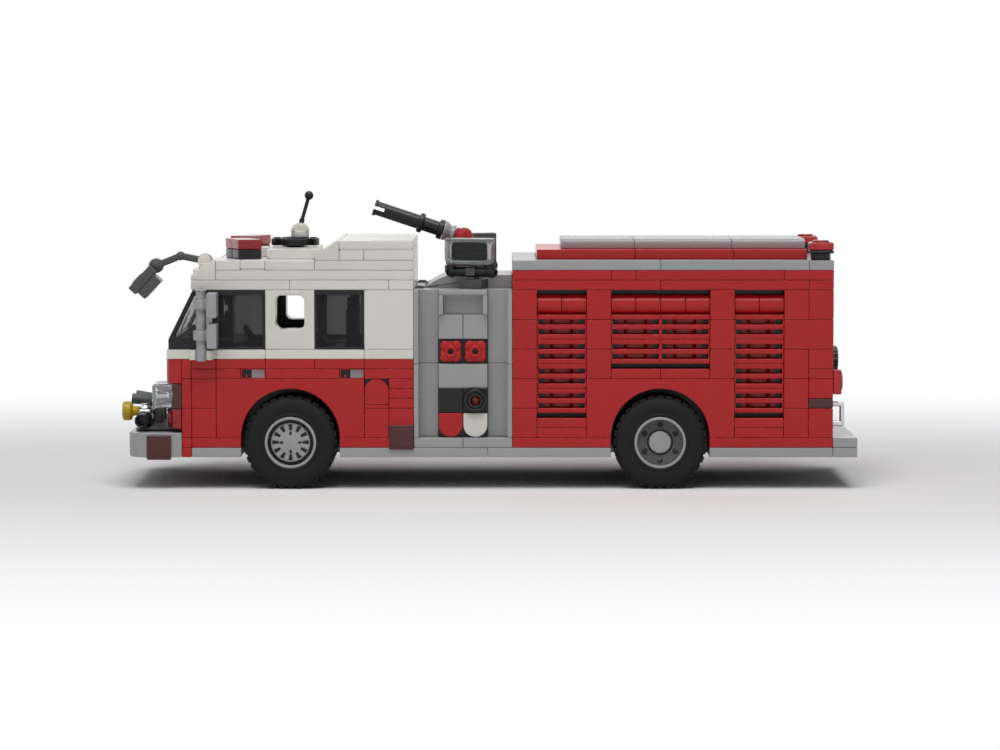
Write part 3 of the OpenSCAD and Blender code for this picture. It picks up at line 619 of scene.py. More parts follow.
def make_finishes(colours):
    """Fills the table of finishes from the chosen colours."""
    plain = {"red": 0.2, "white": 0.24, "light_grey": 0.24, "dark_grey": 0.26, "black": 0.24, "yellow": 0.2}
    for name, roughness in plain.items():
        FINISHES[name] = moulded(name + "_plastic", getattr(colours, name), roughness)
    FINISHES["silver"] = moulded("silver_plastic", colours.silver, 0.16, metallic=0.9)
    FINISHES["red_lens"] = moulded("red_lens_plastic", colours.red_lens, 0.1, clear=0.5, spread=0.15)
    FINISHES["clear_lens"] = moulded("clear_lens_plastic", colours.clear_lens, 0.08, clear=0.85)
    FINISHES["glass"] = pane("window_pane", colours.glass, 0.52)
    FINISHES["screen"] = pane("screen_pane", colours.screen, 0.30)
    FINISHES["marker"] = moulded("marker_plastic", colours.marker, 0.16, clear=0.15, spread=0.12)
    FINISHES["rubber"] = rubber("tyre_rubber", colours.rubber)


# ---------- repeats ----------


class Repeat:
    """A Geometry Nodes tree with named inputs, baked to a plain mesh."""

    def __init__(self, name, inputs):
        self.tree = bpy.data.node_groups.new(name, "GeometryNodeTree")
        self.tree.interface.new_socket("Geometry", in_out="OUTPUT", socket_type="NodeSocketGeometry")
        self.tree.interface.new_socket("Geometry", in_out="INPUT", socket_type="NodeSocketGeometry")
        for label, kind in {"Element": "Object", "Finish": "Material", **inputs}.items():
            self.tree.interface.new_socket(label, in_out="INPUT", socket_type="NodeSocket" + kind)
        self.group = self.tree.nodes.new("NodeGroupInput")

    def node(self, kind, values=None, **settings):
        """Adds a node and returns it; values are numbers, or sockets of other nodes."""
        made = self.tree.nodes.new(kind)
        for name, value in settings.items():
            setattr(made, name, value)
        for name, value in (values or {}).items():
            if isinstance(value, bpy.types.NodeSocket):
                self.tree.links.new(value, made.inputs[name])
            else:
                made.inputs[name].default_value = value
        return made

    def given(self, name):
        """A named input of the tree."""
        return self.group.outputs[name]

    def close(self, points, **turned):
        """Copies the element to the points, makes it real, sets its material and ends the tree."""
        shown = self.node("GeometryNodeObjectInfo", {"Object": self.given("Element")})
        placed = self.node("GeometryNodeInstanceOnPoints", {
            "Points": points, "Instance": shown.outputs["Geometry"], **turned})
        real = self.node("GeometryNodeRealizeInstances", {"Geometry": placed.outputs[0]})
        finish = {"Geometry": real.outputs[0], "Material": self.given("Finish")}
        painted = self.node("GeometryNodeSetMaterial", finish)
        self.node("NodeGroupOutput", {"Geometry": painted.outputs[0]})
        return self

    def bake(self, name, start, element, finish, values):
        """Runs the tree on a mesh and returns an object that holds only the result."""
        part = bpy.data.objects.new(name + "_element", element)
        piece = bpy.data.objects.new(name, start)
        for thing in (part, piece):
            bpy.context.scene.collection.objects.link(thing)
        modifier = piece.modifiers.new("repeat", "NODES")
        given = {"Element": part, "Finish": FINISHES[finish], **values}
        modifier.node_group = self.tree
        for item in self.tree.interface.items_tree:
            if item.in_out == "INPUT" and item.name in given:
                modifier[item.identifier] = given[item.name]
        bpy.context.view_layer.update()
        found = piece.evaluated_get(bpy.context.evaluated_depsgraph_get())
        mesh = bpy.data.meshes.new_from_object(found)
        piece.modifiers.remove(modifier)
        piece.data = mesh
        mesh.name = name
        if not len(mesh.polygons):
            raise RuntimeError(name + " came out empty")
        bpy.data.objects.remove(part)
        return piece


REPEATS = {}


def make_repeats():
    """Builds the trees: copies on points, copies round an axle, and copies in rows."""
    spots = Repeat("copies_on_points", {})
    REPEATS["spots"] = spots.close(spots.given("Geometry"))

    rounds = Repeat("copies_round_axle", {"Count": "Int", "Centre": "Vector", "Start": "Float"})
    line = rounds.node("GeometryNodeMeshLine", {
        "Count": rounds.given("Count"), "Start Location": rounds.given("Centre"), "Offset": (0, 0, 0)})
    index = rounds.node("GeometryNodeInputIndex")
    step = rounds.node("ShaderNodeMath", {0: math.tau, 1: rounds.given("Count")}, operation="DIVIDE")
    turn = rounds.node("ShaderNodeMath", {0: index.outputs[0], 1: step.outputs[0]}, operation="MULTIPLY")
    total = rounds.node("ShaderNodeMath", {0: turn.outputs[0], 1: rounds.given("Start")}, operation="ADD")
    angles = rounds.node("ShaderNodeCombineXYZ", {"Y": total.outputs[0]})
    REPEATS["round"] = rounds.close(line.outputs[0], Rotation=angles.outputs[0])

    rows = Repeat("copies_in_rows",
                  {"Count": "Int", "Pitch": "Vector", "Rows": "Int", "Row Pitch": "Vector"})
    line = rows.node("GeometryNodeMeshLine", {"Count": rows.given("Count"), "Offset": rows.given("Pitch")})
    column = rows.node("GeometryNodeMeshLine", {
        "Count": rows.given("Rows"), "Offset": rows.given("Row Pitch")})
    field = rows.node("GeometryNodeInstanceOnPoints", {
        "Points": column.outputs[0], "Instance": line.outputs[0]})
    spread = rows.node("GeometryNodeRealizeInstances", {"Geometry": field.outputs[0]})
    REPEATS["rows"] = rows.close(spread.outputs[0])


def metres(place):
    """A place in metres from one in millimetres."""
    return [value / MM for value in place]


def copies(tree, name, element, finish, values, spots=(), body="truck"):
    """Runs one of the trees on a shape, starting from places in millimetres, and settles the result."""
    start = bpy.data.meshes.new(name)
    start.from_pydata([metres(spot) for spot in spots], [], [])
    piece = REPEATS[tree].bake(name, start, element.mesh(name + "_one"), finish, values)
    settle(piece, finish, body=body)


def on_spots(name, element, spots, finish):
    """Copies a shape to a list of places in millimetres."""
    copies("spots", name, element, finish, {}, spots)


def in_rows(name, element, finish, count, pitch, rows=1, row_pitch=(0, 0, 0)):
    """Copies a shape along one direction, and that row along another, in millimetres."""
    values = {"Count": count, "Pitch": metres(pitch), "Rows": rows, "Row Pitch": metres(row_pitch)}
    copies("rows", name, element, finish, values)


def round_axle(name, element, centre, count, finish, body, start=0.0):
    """Copies a shape, drawn about the origin, round an axle along Y."""
    values = {"Count": count, "Centre": metres(centre), "Start": math.radians(start)}
    copies("round", name, element, finish, values, body=body)




# ---------- chassis ----------


class ENGINE_OT_chassis(bpy.types.Operator):
    """Grey and red plates under the cab, the pump and the body, hollow below with round tubes."""

    bl_idname = "engine.chassis"
    bl_label = "Chassis plates"

    rib = 1.2
    hollow_p = 0.62

    def plates(self, shape, start, end, foot, hollow, tubes):
        """A layer of plates that leaves out the wheels and their holders."""
        for ya, yb, gap in ((-1, 1, 0), (1, 2, 1), (2, HALF, 2)):
            edges = [start]
            for axle in AXLES:
                if gap and start < axle < end:
                    edges += [axle - gap, axle + gap]
            edges.append(end)
            for side in both_sides(shape) if gap else (1,):
                for xa, xb in zip(edges[::2], edges[1::2]):
                    for a, b in runs(xa, xb, 6):
                        self.plate(shape, a, b, ya, yb, foot, hollow)
                        if hollow:
                            tubes += [(sx(n), side * (ya + yb) / 2 * STUD, 0) for n in range(a + 1, b)]

    def plate(self, shape, a, b, ya, yb, foot, hollow):
        """One plate: a frame with a floor let into it where its hollow shows."""
        if not hollow:
            shape.brick(a, b, ya, yb, foot, foot + 1)
            return
        gap = shape.sizes.seam / 2
        outline = (sx(a) + gap, sx(b) - gap, ya * STUD + gap, yb * STUD - gap)
        rib = self.rib
        hole = (outline[0] + rib, outline[1] - rib, outline[2] + rib, outline[3] - rib)
        shape.prism(rectangle(*outline), pz(foot) + gap, pz(foot + 1) - gap, "z", rectangle(*hole))
        shape.box(hole[0] - 0.3, hole[1] + 0.3, hole[2] - 0.3, hole[3] + 0.3,
                  pz(foot + self.hollow_p), pz(foot + 1) - gap - 0.05, 0.05)

    def execute(self, context):
        """Makes the two layers, the tubes below and the tailboard."""
        grey, red, tubes = Shape(), Shape(), []
        self.plates(grey, CAB_FRONT, BODY_BACK, 0, True, tubes)
        for a, b in runs(CAB_BACK, PUMP_BACK, 2):
            grey.brick(a, b, -HALF, HALF, 1, 2)
        grey.lay([(BODY_BACK, BODY_BACK + 1)], spans((-4, -2, 2, 4)), ((0, 1), (1, 2)))
        grey.make("chassis_plates", "light_grey", "chassis")
        self.plates(red, CAB_FRONT, CAB_BACK, 1, False, [])
        self.plates(red, PUMP_BACK, BODY_BACK, 1, False, [])
        red.make("floor_plates", "red", "base_plates")
        tube = Shape()
        tube.ring((0, 0, 0), "z", PIN_R, 3.25, pz(0) + 0.1, pz(self.hollow_p + 0.05), edge=0.1, steps=16)
        on_spots("underside_tubes", tube, tubes, "light_grey")
        return {"FINISHED"}


class ENGINE_OT_axles(bpy.types.Operator):
    """Dark holders beside the wheels, with a round pin for each wheel."""

    bl_idname = "engine.axles"
    bl_label = "Axle holders"

    def execute(self, context):
        """Makes four holders."""
        shape = Shape()
        inner = HALF - 2
        pin_end = high("axle_holders").y
        for axle in AXLES:
            for _ in both_sides(shape):
                shape.brick(axle - 1, axle + 1, inner - 1, inner, 0, 1)
                shape.brick(axle - 1, axle + 1, inner - 1, inner, 1, 3)
                shape.rod((sx(axle), 0, pivot("wheel_fl_spin").z), "y", PIN_R, inner * STUD - 0.5, pin_end,
                          edge=0.4)
        shape.make("axle_holders_and_pins", "dark_grey", "axle_holders")
        return {"FINISHED"}


# ---------- front end ----------

FACE = (low("front_wall").x - AXLE_X) / STUD
DECK_Z = high("bumper_deck").z
DECK_FOOT = low("bumper_deck").z


class ENGINE_OT_bumper(bpy.types.Operator):
    """The rounded grey bumper, its dark deck and the red wall of the nose behind it."""

    bl_idname = "engine.bumper"
    bl_label = "Bumper and nose"

    corner = 6

    def slab(self, shape, x0, x1, y, corner, z0, z1, edge):
        """A slab whose front corners are round."""
        outline = [(x1, -y), (x1, y)] + arc(x0 + corner, y - corner, corner, 90, 180, 10)
        outline += arc(x0 + corner, corner - y, corner, 180, 270, 10)
        shape.prism(outline, z0, z1, "z", edge=edge)

    def execute(self, context):
        """Makes the bumper, the deck and the nose wall."""
        grey = Shape()
        x0, x1 = low("bumper").x, high("bumper").x
        self.slab(grey, x0, x1, SIDE_Y, self.corner, pz(0), DECK_FOOT, 0.35)
        grey.make("bumper_shell", "light_grey", "bumper")
        deck = Shape()
        inner = high("bumper_deck").y
        self.slab(deck, low("bumper_deck").x, x1, inner, self.corner - WALL, DECK_FOOT, DECK_Z - 0.35, 0.3)
        deck.make("bumper_deck_plate", "dark_grey", "bumper_deck")
        rib = Shape()
        rib.box(x0 + 4, x1 - 1, -26.8, -26, DECK_Z - 0.5, DECK_Z, 0.1)
        in_rows("bumper_deck_ribs", rib, "dark_grey", 23, (0, 2.4, 0))
        red = Shape()
        for p0, p1 in ((0, 1), (1, 2), (2, 5), (5, 8), (8, BELT)):
            cuts = (-4, -2, 2, 4) if p1 in (1, 8) else (-4, 0, 4)
            red.lay_across(FACE, CAB_FRONT, cuts, [(p0, p1)])
        red.make("nose_wall", "red", "front_wall")
        return {"FINISHED"}


class ENGINE_OT_front_gear(bpy.types.Operator):
    """Ribbed hose, nozzles, pipe fittings, horns and the yellow intake cap on the bumper."""

    bl_idname = "engine.front_gear"
    bl_label = "Gear on the bumper"

    def hose(self, black):
        """The pipe with a nozzle at each end, and the hose behind it."""
        pipe_x = (low("pipe_fittings").x + high("pipe_fittings").x) / 2
        pipe_z = DECK_Z + PIN_R
        end_y = (HALF - 0.4) * STUD
        rear_x = high("front_hose").x - 1.3
        rear_z = DECK_Z + 4.6
        hose_y = (HALF - 2.2) * STUD + 1.5
        black.rod((pipe_x, 0, pipe_z), "y", PIN_R - 0.6, 4.5 - end_y, end_y - 4.5)
        for _ in both_sides(black):
            eight = ring_places(8, PIN_R, 22.5)
            hole = arc(0, 0, 1.6, 0, 345, 23)
            with moved(Matrix.Translation((pipe_x, 0, pipe_z)), black):
                black.prism(eight, end_y - 4.2, end_y, "y", hole, 0.3)
                black.prism(eight, end_y - STUD, end_y - 4.15, "y", edge=0.3)
                black.ring((0, 0, 0), "y", PIN_R - 0.9, PIN_R + 0.15, end_y - STUD - 0.9,
                           end_y - STUD + 0.2)
            black.box(pipe_x - 1, pipe_x + 1, end_y - STUD - 1.5, end_y - STUD + 1.5, DECK_Z - 0.1, pipe_z)
            black.box(rear_x - 1, rear_x + 1, hose_y - 3, hose_y, DECK_Z - 0.1, rear_z, 0.2)
        black.rod((rear_x, 0, rear_z), "y", 1.0, -hose_y, hose_y)
        rib = Shape()
        start = hose_y - 0.8
        rib.ring((rear_x, 0, rear_z), "y", 0.8, 1.3, -start, 0.75 - start, edge=0.2, steps=24)
        pitch = bpy.context.scene.brick_sizes.rib_pitch
        in_rows("front_hose_ribs", rib, "black", int(2 * (hose_y - 0.6) / pitch), (0, pitch, 0))

    def execute(self, context):
        """Makes the fittings on the bumper."""
        black = Shape()
        self.hose(black)
        black.make("front_hose_and_nozzles", "black", "front_hose")

        silver = Shape()
        x0, x1 = low("pipe_fittings").x, high("pipe_fittings").x
        y1, top = high("pipe_fittings").y, high("pipe_fittings").z
        y0 = 2 * (HALF - 2) * STUD - y1
        middle, radius = (x0 + x1) / 2, (x1 - x0) / 2
        for _ in both_sides(silver):
            silver.box(x0, x1, y0, y1, DECK_Z, top - radius, 0.4)
            silver.ring((middle, 0, DECK_Z + PIN_R), "y", PIN_R - 0.55, PIN_R + 0.25, y0 - 0.7, y0 + 0.4)
            silver.ring((middle, 0, DECK_Z + PIN_R), "y", PIN_R - 0.55, PIN_R + 0.25, y1 - 0.4, y1 + 0.7)
            silver.lathe([(0, 0), (radius, 0), (radius, 0.8), (1.1, 1.3), (1.1, 1.7), (1.5, 2), (0, 2)],
                         (middle, (y0 + y1) / 2, top - radius - 0.1), "z", edge=0.2)
        silver.make("taps_and_pipe_blocks", "silver", "pipe_fittings")

        yellow = Shape()
        tip, back = low("intake_cap").x, high("intake_cap").x
        where = (0, (low("intake_cap").y + high("intake_cap").y) / 2,
                 (low("intake_cap").z + high("intake_cap").z) / 2)
        yellow.lathe([(0, tip), (2.8, tip), (3.18, tip + 0.4), (3.18, tip + 2.5), (2.7, tip + 3.1),
                      (BAR_R + 0.3, tip + 3.2), (BAR_R, tip + 3.6), (BAR_R, back), (0, back)],
                     where, "x", edge=0.15)
        yellow.make("intake_cap_knob", "yellow", "intake_cap")

        horn = Shape()
        mouth, root = low("air_horn").x, high("air_horn").x
        for _ in both_sides(horn):
            base = (root - 2.1, 0.8 * STUD, DECK_Z + 7)
            length = base[0] - mouth - 0.4
            with moved(turned(6, "Y", base), horn):
                horn.lathe([(0, -length + 2.2), (1.3, -length), (1.84, -length), (1.4, -2.4), (1.9, -2),
                            (1.9, -0.2), (1.2, 0), (0, 0)], (0, 0, 0), "x", edge=0.12)
            horn.box(root - 2.6, root, 0.8 * STUD - 1.5, 0.8 * STUD + 1.5, DECK_Z - 0.05, DECK_Z + 8, 0.3)
        horn.make("air_horns", "dark_grey", "air_horn")
        return {"FINISHED"}


class ENGINE_OT_front_lights(bpy.types.Operator):
    """Grille, headlamps, red signals and the plain curved corner tiles over them."""

    bl_idname = "engine.front_lights"
    bl_label = "Front lights and grille"

    def execute(self, context):
        """Makes what is on the nose wall."""
        grille = Shape()
        (x0, _, foot), (x1, wide, top) = low("front_grille"), high("front_grille")
        bars, rim = 9, 1.2
        pitch = (top - foot - 1.6) / bars
        grille.prism(rectangle(-wide, wide, foot, top), x1 - 1.4, x1, "x",
                     rectangle(rim - wide, wide - rim, foot + rim, top - rim))
        grille.box(x1 - 0.4, x1, 1 - wide, wide - 1, foot + 1, top - 1, 0.05)
        grille.make("grille_frame", "light_grey", "front_grille")
        bar = Shape()
        bar.box(x0, x1 - 0.3, 1 - wide, wide - 1, foot + rim, foot + rim + pitch * 0.55, 0.2)
        in_rows("grille_bars", bar, "light_grey", bars, (0, 0, pitch))

        clear, red, bowls, sides = (Shape() for _ in range(4))
        back, front = low("front_wall").x, low("front_lights").x
        signal_foot, lamp_foot, lamp_top = pz(2.9), pz(4.95), pz(7.45)
        block = back - 3
        for _ in both_sides(clear, red, bowls, sides):
            for n in (HALF - 2, HALF - 1):
                y0, y1 = n * STUD, (n + 1) * STUD
                middle = (y0 + y1) / 2
                clear.box(front, block, y0 + 0.3, y1 - 0.3, lamp_foot + 0.1, lamp_top, 0.6)
                sides.box(block - 0.1, back, y0 + 0.05, y1 - 0.05, lamp_foot, lamp_top, 0.25)
                bowls.lathe([(0, block - 1.2), (1, block - 1.4), (2.9, front + 1.2), (3.2, front + 1.2),
                             (3.2, front + 1.7), (1.6, block - 0.6), (1.6, block), (0, block)],
                            (0, middle, (lamp_foot + lamp_top) / 2), "x", edge=0.1)
                red.box(block - 0.1, back, y0 + 0.05, y1 - 0.05, signal_foot, lamp_foot - 0.1, 0.4)
                red.rod((0, middle, (signal_foot + lamp_foot) / 2), "x", PIN_R, block - 1.6, block,
                        edge=0.5)
        clear.make("headlamps", "clear_lens", "front_lights")
        bowls.make("headlamp_bowls", "silver")
        sides.make("headlamp_blocks", "marker")
        red.make("front_signals", "red_lens")

        tiles = Shape()
        deep = back - low("badge_tiles").x
        foot, top = low("badge_tiles").z, high("badge_tiles").z
        near, shoulder = (HALF - 2) * STUD, 0.6
        for _ in both_sides(tiles):
            outline = [(back, near), (back, SIDE_Y), (back - shoulder, SIDE_Y)]
            outline += arc(back - shoulder, SIDE_Y - deep + shoulder, deep - shoulder, 90, 180, 10)
            tiles.prism(outline + [(back - deep, near)], foot + 0.05, top, "z")
        tiles.make("corner_tiles", "red", "badge_tiles")
        return {"FINISHED"}


# ---------- lower cab ----------


class ENGINE_OT_lower_cab(bpy.types.Operator):
    """Red bricks of the lower cab with door handles, wheel arches, filler doors and markers."""

    bl_idname = "engine.lower_cab"
    bl_label = "Lower cab"

    def handle(self, red, xa):
        """A brick that is open for a door handle."""
        x0, x1 = sx(xa), sx(xa + 1)
        z0, z1 = pz(ARCH), pz(ARCH + 1)
        red.box(x0 + SLIT, x1 - SLIT, SIDE_Y - STUD, SIDE_Y - 1.9, z0 + SLIT, z1 - SLIT)
        red.prism(rectangle(x0 + SLIT, x1 - SLIT, z0 + SLIT, z1 - SLIT), SIDE_Y - 2, SIDE_Y, "y",
                  rectangle(x0 + 0.4, x1 - 0.3, z0 + 0.3, z1 - 0.2), 0.1)
        red.box(x0 + 1.5, x0 + 2.3, SIDE_Y - 1.3, SIDE_Y - 0.5, z0 + 0.5, z0 + 1.3, 0.1)

    def execute(self, context):
        """Makes the lower cab."""
        red, dark, grey = Shape(), Shape(), Shape()
        filler, top = CAB_BACK - 2, pz(8)
        door_foot = low("filler_doors").z
        wall = [(HALF - 1, HALF)]
        x0, x1 = sx(filler), sx(filler + 1)
        for _ in both_sides(red, dark, grey):
            red.lay([(-4, -3)], wall, ((2, 5), (5, 8), (8, 9), (9, BELT)))
            red.lay(((-3, -2), (-1, 2)), wall, [(ARCH, ARCH + 1)])
            for xa in (-2, 2):
                self.handle(red, xa)
                handle_y, z0, z1 = SIDE_Y - 1.95, top + 0.2, pz(9) - 0.15
                grey.box(sx(xa) + 3.5, sx(xa + 1) - 0.25, handle_y, SIDE_Y - 0.9, z0, z1, 0.1)
            red.lay(((-3, -1), (-1, 1), (1, 3), (3, 5)), wall, [(ARCH + 1, BELT)])
            red.lay([(3, 5)], wall, [(ARCH, ARCH + 1)])
            red.lay([(4, 5)], wall, ((2, 5), (5, 6), (6, 7), (7, 8)))
            red.brick(3, 4, *wall[0], 2, 5)
            red.box(x0 + SLIT, x1 - SLIT, (HALF - 1) * STUD, SIDE_Y - 2.2, pz(5), top, 0.1)
            red.box(x0 + SLIT, x1 - SLIT, SIDE_Y - 3, SIDE_Y, pz(5), door_foot - 0.12, 0.1)
            dark.box(x0 + 0.1, x1 - 0.1, SIDE_Y - 2.3, SIDE_Y - 1.5, door_foot, top, 0.05)
            for xa in (-2, 2):
                dark.box(sx(xa) + 0.3, sx(xa) + 3.4, handle_y, SIDE_Y - 1.4, z0, z1, 0.05)
        red.lay([(CAB_BACK - 1, CAB_BACK)], spans((-3, 0, 3)), ((2, 5), (5, 8), (8, BELT)))
        red.make("lower_cab_bricks", "red", "cab_walls")
        dark.make("handle_shadows", "black")
        grey.make("door_handles", "light_grey")
        self.arches()
        self.doors(x0, x1, door_foot, top)
        self.markers()
        return {"FINISHED"}

    def arches(self):
        """The arches over the wheels, and the dark linings behind them."""
        arches, well = Shape(), Shape()
        radius = pivot("wheel_fl_spin").z + 0.8
        foot, top = pz(2), pz(ARCH) - SLIT
        for axle in AXLES:
            x, x0, x1 = sx(axle), sx(axle - 3) + SLIT, sx(axle + 3) - SLIT
            for _ in both_sides(arches, well):
                outline = [(x0, foot), (x - radius, foot)] + arc(x, foot, radius, 180, 0, 28)[1:-1]
                outline += [(x + radius, foot), (x1, foot), (x1, top), (x0, top)]
                arches.prism(outline, (HALF - 1) * STUD + 0.02, SIDE_Y, "y")
                arches.prism(outline, (HALF - 2) * STUD, (HALF - 1) * STUD - 0.02, "y")
                well.box(x - radius, x + radius, 14.2, 15.2, pz(1), pz(ARCH) - 0.2, 0.1)
        well.make("wheel_well_linings", "black")
        arches.make("wheel_arches", "red", "fenders")

    def doors(self, x0, x1, foot, top):
        """The round-headed filler doors."""
        doors, gap = Shape(), 0.08
        x0, x1 = x0 + gap, x1 - gap
        r = (x1 - x0) / 2
        outline = [(x0, foot), (x1, foot)] + arc((x0 + x1) / 2, top - r - gap, r, 0, 180, 16)
        for _ in both_sides(doors):
            doors.prism(outline, SIDE_Y - WALL, SIDE_Y, "y")
        doors.make("filler_door_tiles", "red", "filler_doors")

    def markers(self):
        """The square markers on the sides, and the low ones at the tail."""
        lens, thick, gap, rim = Shape(), high("side_markers").y - SIDE_Y, 0.06, 1.2
        marker, tail = low("side_markers"), sx(BODY_BACK)
        for _ in both_sides(lens):
            for x0, z0 in ((sx(CAB_BACK - 1), pz(0.8)), (marker.x, marker.z)):
                x1, z1 = x0 + STUD, z0 + STUD
                lens.box(x0 + gap, x1 - gap, SIDE_Y - 0.02, SIDE_Y + thick, z0 + gap, z1 - gap, 0.2)
                lens.box(x0 + rim, x1 - rim, SIDE_Y + thick - 0.1, SIDE_Y + thick + 0.12, z0 + rim,
                         z1 - rim,
                         0.1)
            lens.box(tail - STUD + gap, tail - gap, SIDE_Y - thick, SIDE_Y, pz(5) + 0.1, pz(6) - 0.1, 0.15)
        lens.make("side_marker_tiles", "marker", "side_markers")


# ---------- upper cab ----------


def cab_opening():
    """The round-cornered opening between the side windows: half its length, its foot and its head."""
    half, foot, head, corner = 4.7, 6.4, 17.44, 2
    return rounded(sx(0) - half, sx(0) + half, pz(GLASS) + foot, pz(GLASS) + head, corner)


class ENGINE_OT_upper_cab(bpy.types.Operator):
    """White belt and window bricks, with the round-cornered opening between the windows."""

    bl_idname = "engine.upper_cab"
    bl_label = "Upper cab"

    def execute(self, context):
        """Makes the white bricks of the cab, the grab bars beside them and the handles at the tail."""
        white = Shape()
        bar_x, bar_y = sx(CAB_FRONT + 0.45), (HALF + 0.5) * STUD
        for _ in both_sides(white):
            white.lay(spans((-5, -3, -1, 3, 5)), [(HALF - 1, HALF)], [(BELT, GLASS)])
            for side in (-1, 1):
                middle = bar_x + side * 2.76
                outline = rectangle(middle - 1.12, middle + 1.12, SIDE_Y - 0.2, bar_y + 0.1)[:2]
                outline += arc(middle, bar_y + 0.1, 1.12, 0, 180, 10)
                white.prism(outline, pz(BELT) + 0.05, pz(GLASS) - 0.05, "z")
        white.brick(-5, -4, -3, 3, BELT, GLASS)
        white.brick(4, 5, -3, 3, BELT, GLASS)
        white.make("belt_plates", "white", "belt")

        walls = Shape()
        gap = walls.sizes.seam / 2
        foot, head = pz(GLASS) + gap, pz(EAVES) - gap
        opening = cab_opening()
        for _ in both_sides(walls):
            walls.prism(rectangle(sx(-1) + gap, sx(1) - gap, foot, head),
                        (HALF - 1) * STUD, SIDE_Y, "y", opening)
            walls.brick(3, 5, HALF - 1, HALF, GLASS, EAVES)
        walls.lay([(4, 5)], spans((-3, -1, 1, 3)), spans((GLASS, GLASS + 3, EAVES)))
        walls.make("window_bricks", "white", "cab_pillars")

        bars, rear = Shape(), Shape()
        for _ in both_sides(bars):
            bars.rod((bar_x, bar_y, 0), "z", BAR_R, pz(BELT) - 0.4, pz(EAVES) + 0.4, edge=0.3)
            bars.ring((bar_x, bar_y, 0), "z", BAR_R - 0.1, 1.95, pz(EAVES) - 0.2, pz(EAVES) + 0.4, edge=0.1)
            for p in (GLASS + 1, GLASS + 4.1):
                bars.ring((bar_x, bar_y, 0), "z", BAR_R - 0.05, 2.59, pz(p), pz(p + 1), edge=0.25)
                x0 = bar_x + BAR_R + 0.5
                z0 = pz(p) - 0.8 * PLATE
                bars.box(x0, x0 + PLATE, bar_y - STUD / 2, bar_y + STUD / 2, z0, z0 + STUD, 0.25)
                bars.rod((0, bar_y, z0 + STUD / 2), "x", PIN_R, x0 - 0.5, x0 + 0.1, edge=0.1, steps=24)
        bars.make("grab_bars_and_mirror_plates", "light_grey", "grab_bars", "side_mirrors")
        for _ in both_sides(rear):
            x0, y0 = sx(BODY_BACK), (HALF - 0.5) * STUD
            rear.rod((x0 + 0.4 * STUD, y0, 0), "z", WALL / 2, pz(3.1), pz(3.1) + STUD, edge=0.3)
            for z in (pz(3.1), pz(3.1) + STUD - WALL):
                rear.box(x0 - 0.1, x0 + 0.4 * STUD, y0 - 0.75, y0 + 0.75, z, z + WALL, 0.3)
        rear.make("rear_handles", "silver")
        return {"FINISHED"}


class ENGINE_OT_glazing(bpy.types.Operator):
    """Black window frames and the sloping windscreen, with their panes."""

    bl_idname = "engine.glazing"
    bl_label = "Windows"

    def execute(self, context):
        """Makes frames and panes."""
        frames, glass = Shape(), Shape()
        foot, head = pz(GLASS), pz(EAVES)
        for _ in both_sides(frames, glass):
            for n in (-3, 1):
                x0, x1 = sx(n) + 0.05, sx(n + 2) - 0.05
                frames.prism(rectangle(x0, x1, foot + 0.03, head - 0.03), SIDE_Y - 4, SIDE_Y, "y",
                             rectangle(x0 + 0.8, x1 - 0.8, foot + 0.7, head - WALL), 0.12)
                glass.box(sx(n) + 0.7, sx(n + 2) - 0.7, SIDE_Y - 1.9, SIDE_Y - 1.2, foot + 0.6, head - 1.4,
                          0.1)
        frames.make("side_window_frames", "black", "window_frames")

        screen = Shape()
        nose, crown = low("windscreen_frame").x, sx(CAB_FRONT + 0.07)
        base, pillar = pz(GLASS + 1.15), sx(CAB_FRONT + 1)
        slope = (crown - nose) / (head - pz(GLASS + 1))

        def leaning(z, deep=0.0):
            """Place of the sloping face at a height."""
            return nose + max(0, z - pz(GLASS + 1)) * slope + deep

        bar_head = head - 1.9
        cheek = [(nose, foot), (pillar, foot), (pillar, head), (crown, head), (nose, pz(GLASS + 1))]
        hole = [(leaning(base, 1.7), base + 0.3), (pillar - 1.1, base + 0.3),
                (pillar - 1.1, bar_head + 0.5),
                (leaning(bar_head, 1.5), bar_head + 0.5)]
        for _ in both_sides(screen):
            screen.prism(cheek, SIDE_Y - WALL, SIDE_Y, "y", hole, 0.12)
        band = [(nose, foot), (nose + 2.4, foot), (leaning(base, 1.9), base), (leaning(base), base),
                (nose, pz(GLASS + 1))]
        top = [(leaning(bar_head), bar_head), (leaning(bar_head, 2), bar_head), (crown + 2, head),
               (crown, head)]
        for outline in (band, top):
            screen.prism(outline, WALL - SIDE_Y - 0.1, SIDE_Y - WALL + 0.1, "y", edge=0.15)
        post = [(leaning(base), base - 0.2), (leaning(base, 1.5), base - 0.2),
                (leaning(bar_head, 1.5), bar_head + 0.2), (leaning(bar_head), bar_head + 0.2)]
        for _ in both_sides(screen):
            screen.prism(post, SIDE_Y - 3.2, SIDE_Y - WALL + 0.1, "y", edge=0.15)
            screen.box(crown + 1.8, pillar, SIDE_Y - 3.2, SIDE_Y - WALL, head - 1.4, head, 0.1)
        screen.make("windscreen_surround", "black", "windscreen_frame")
        sheet = [(leaning(base, 0.5), base - 0.2), (leaning(base, 1.1), base - 0.2),
                 (leaning(bar_head, 1.1), bar_head + 0.2), (leaning(bar_head, 0.5), bar_head + 0.2)]
        clear = Shape()
        clear.prism(sheet, 3 - SIDE_Y, SIDE_Y - 3, "y", edge=0.1)
        for _ in both_sides(clear):
            clear.prism(hole, SIDE_Y - 1.25, SIDE_Y - 0.6, "y", edge=0.1)
        clear.make("windscreen_pane", "screen")
        glass.make("window_panes", "glass", "cab_glass")
        wiper = Shape()
        for y in (-14, 6):
            lean = turned(math.degrees(math.atan(slope)), "Y", (leaning(base), y, base))
            with moved(lean @ turned(38, "X"), wiper):
                wiper.box(0.1, 0.5, -0.3, 0.3, 0.2, 10, 0.1)
        wiper.make("wipers", "black")
        return {"FINISHED"}


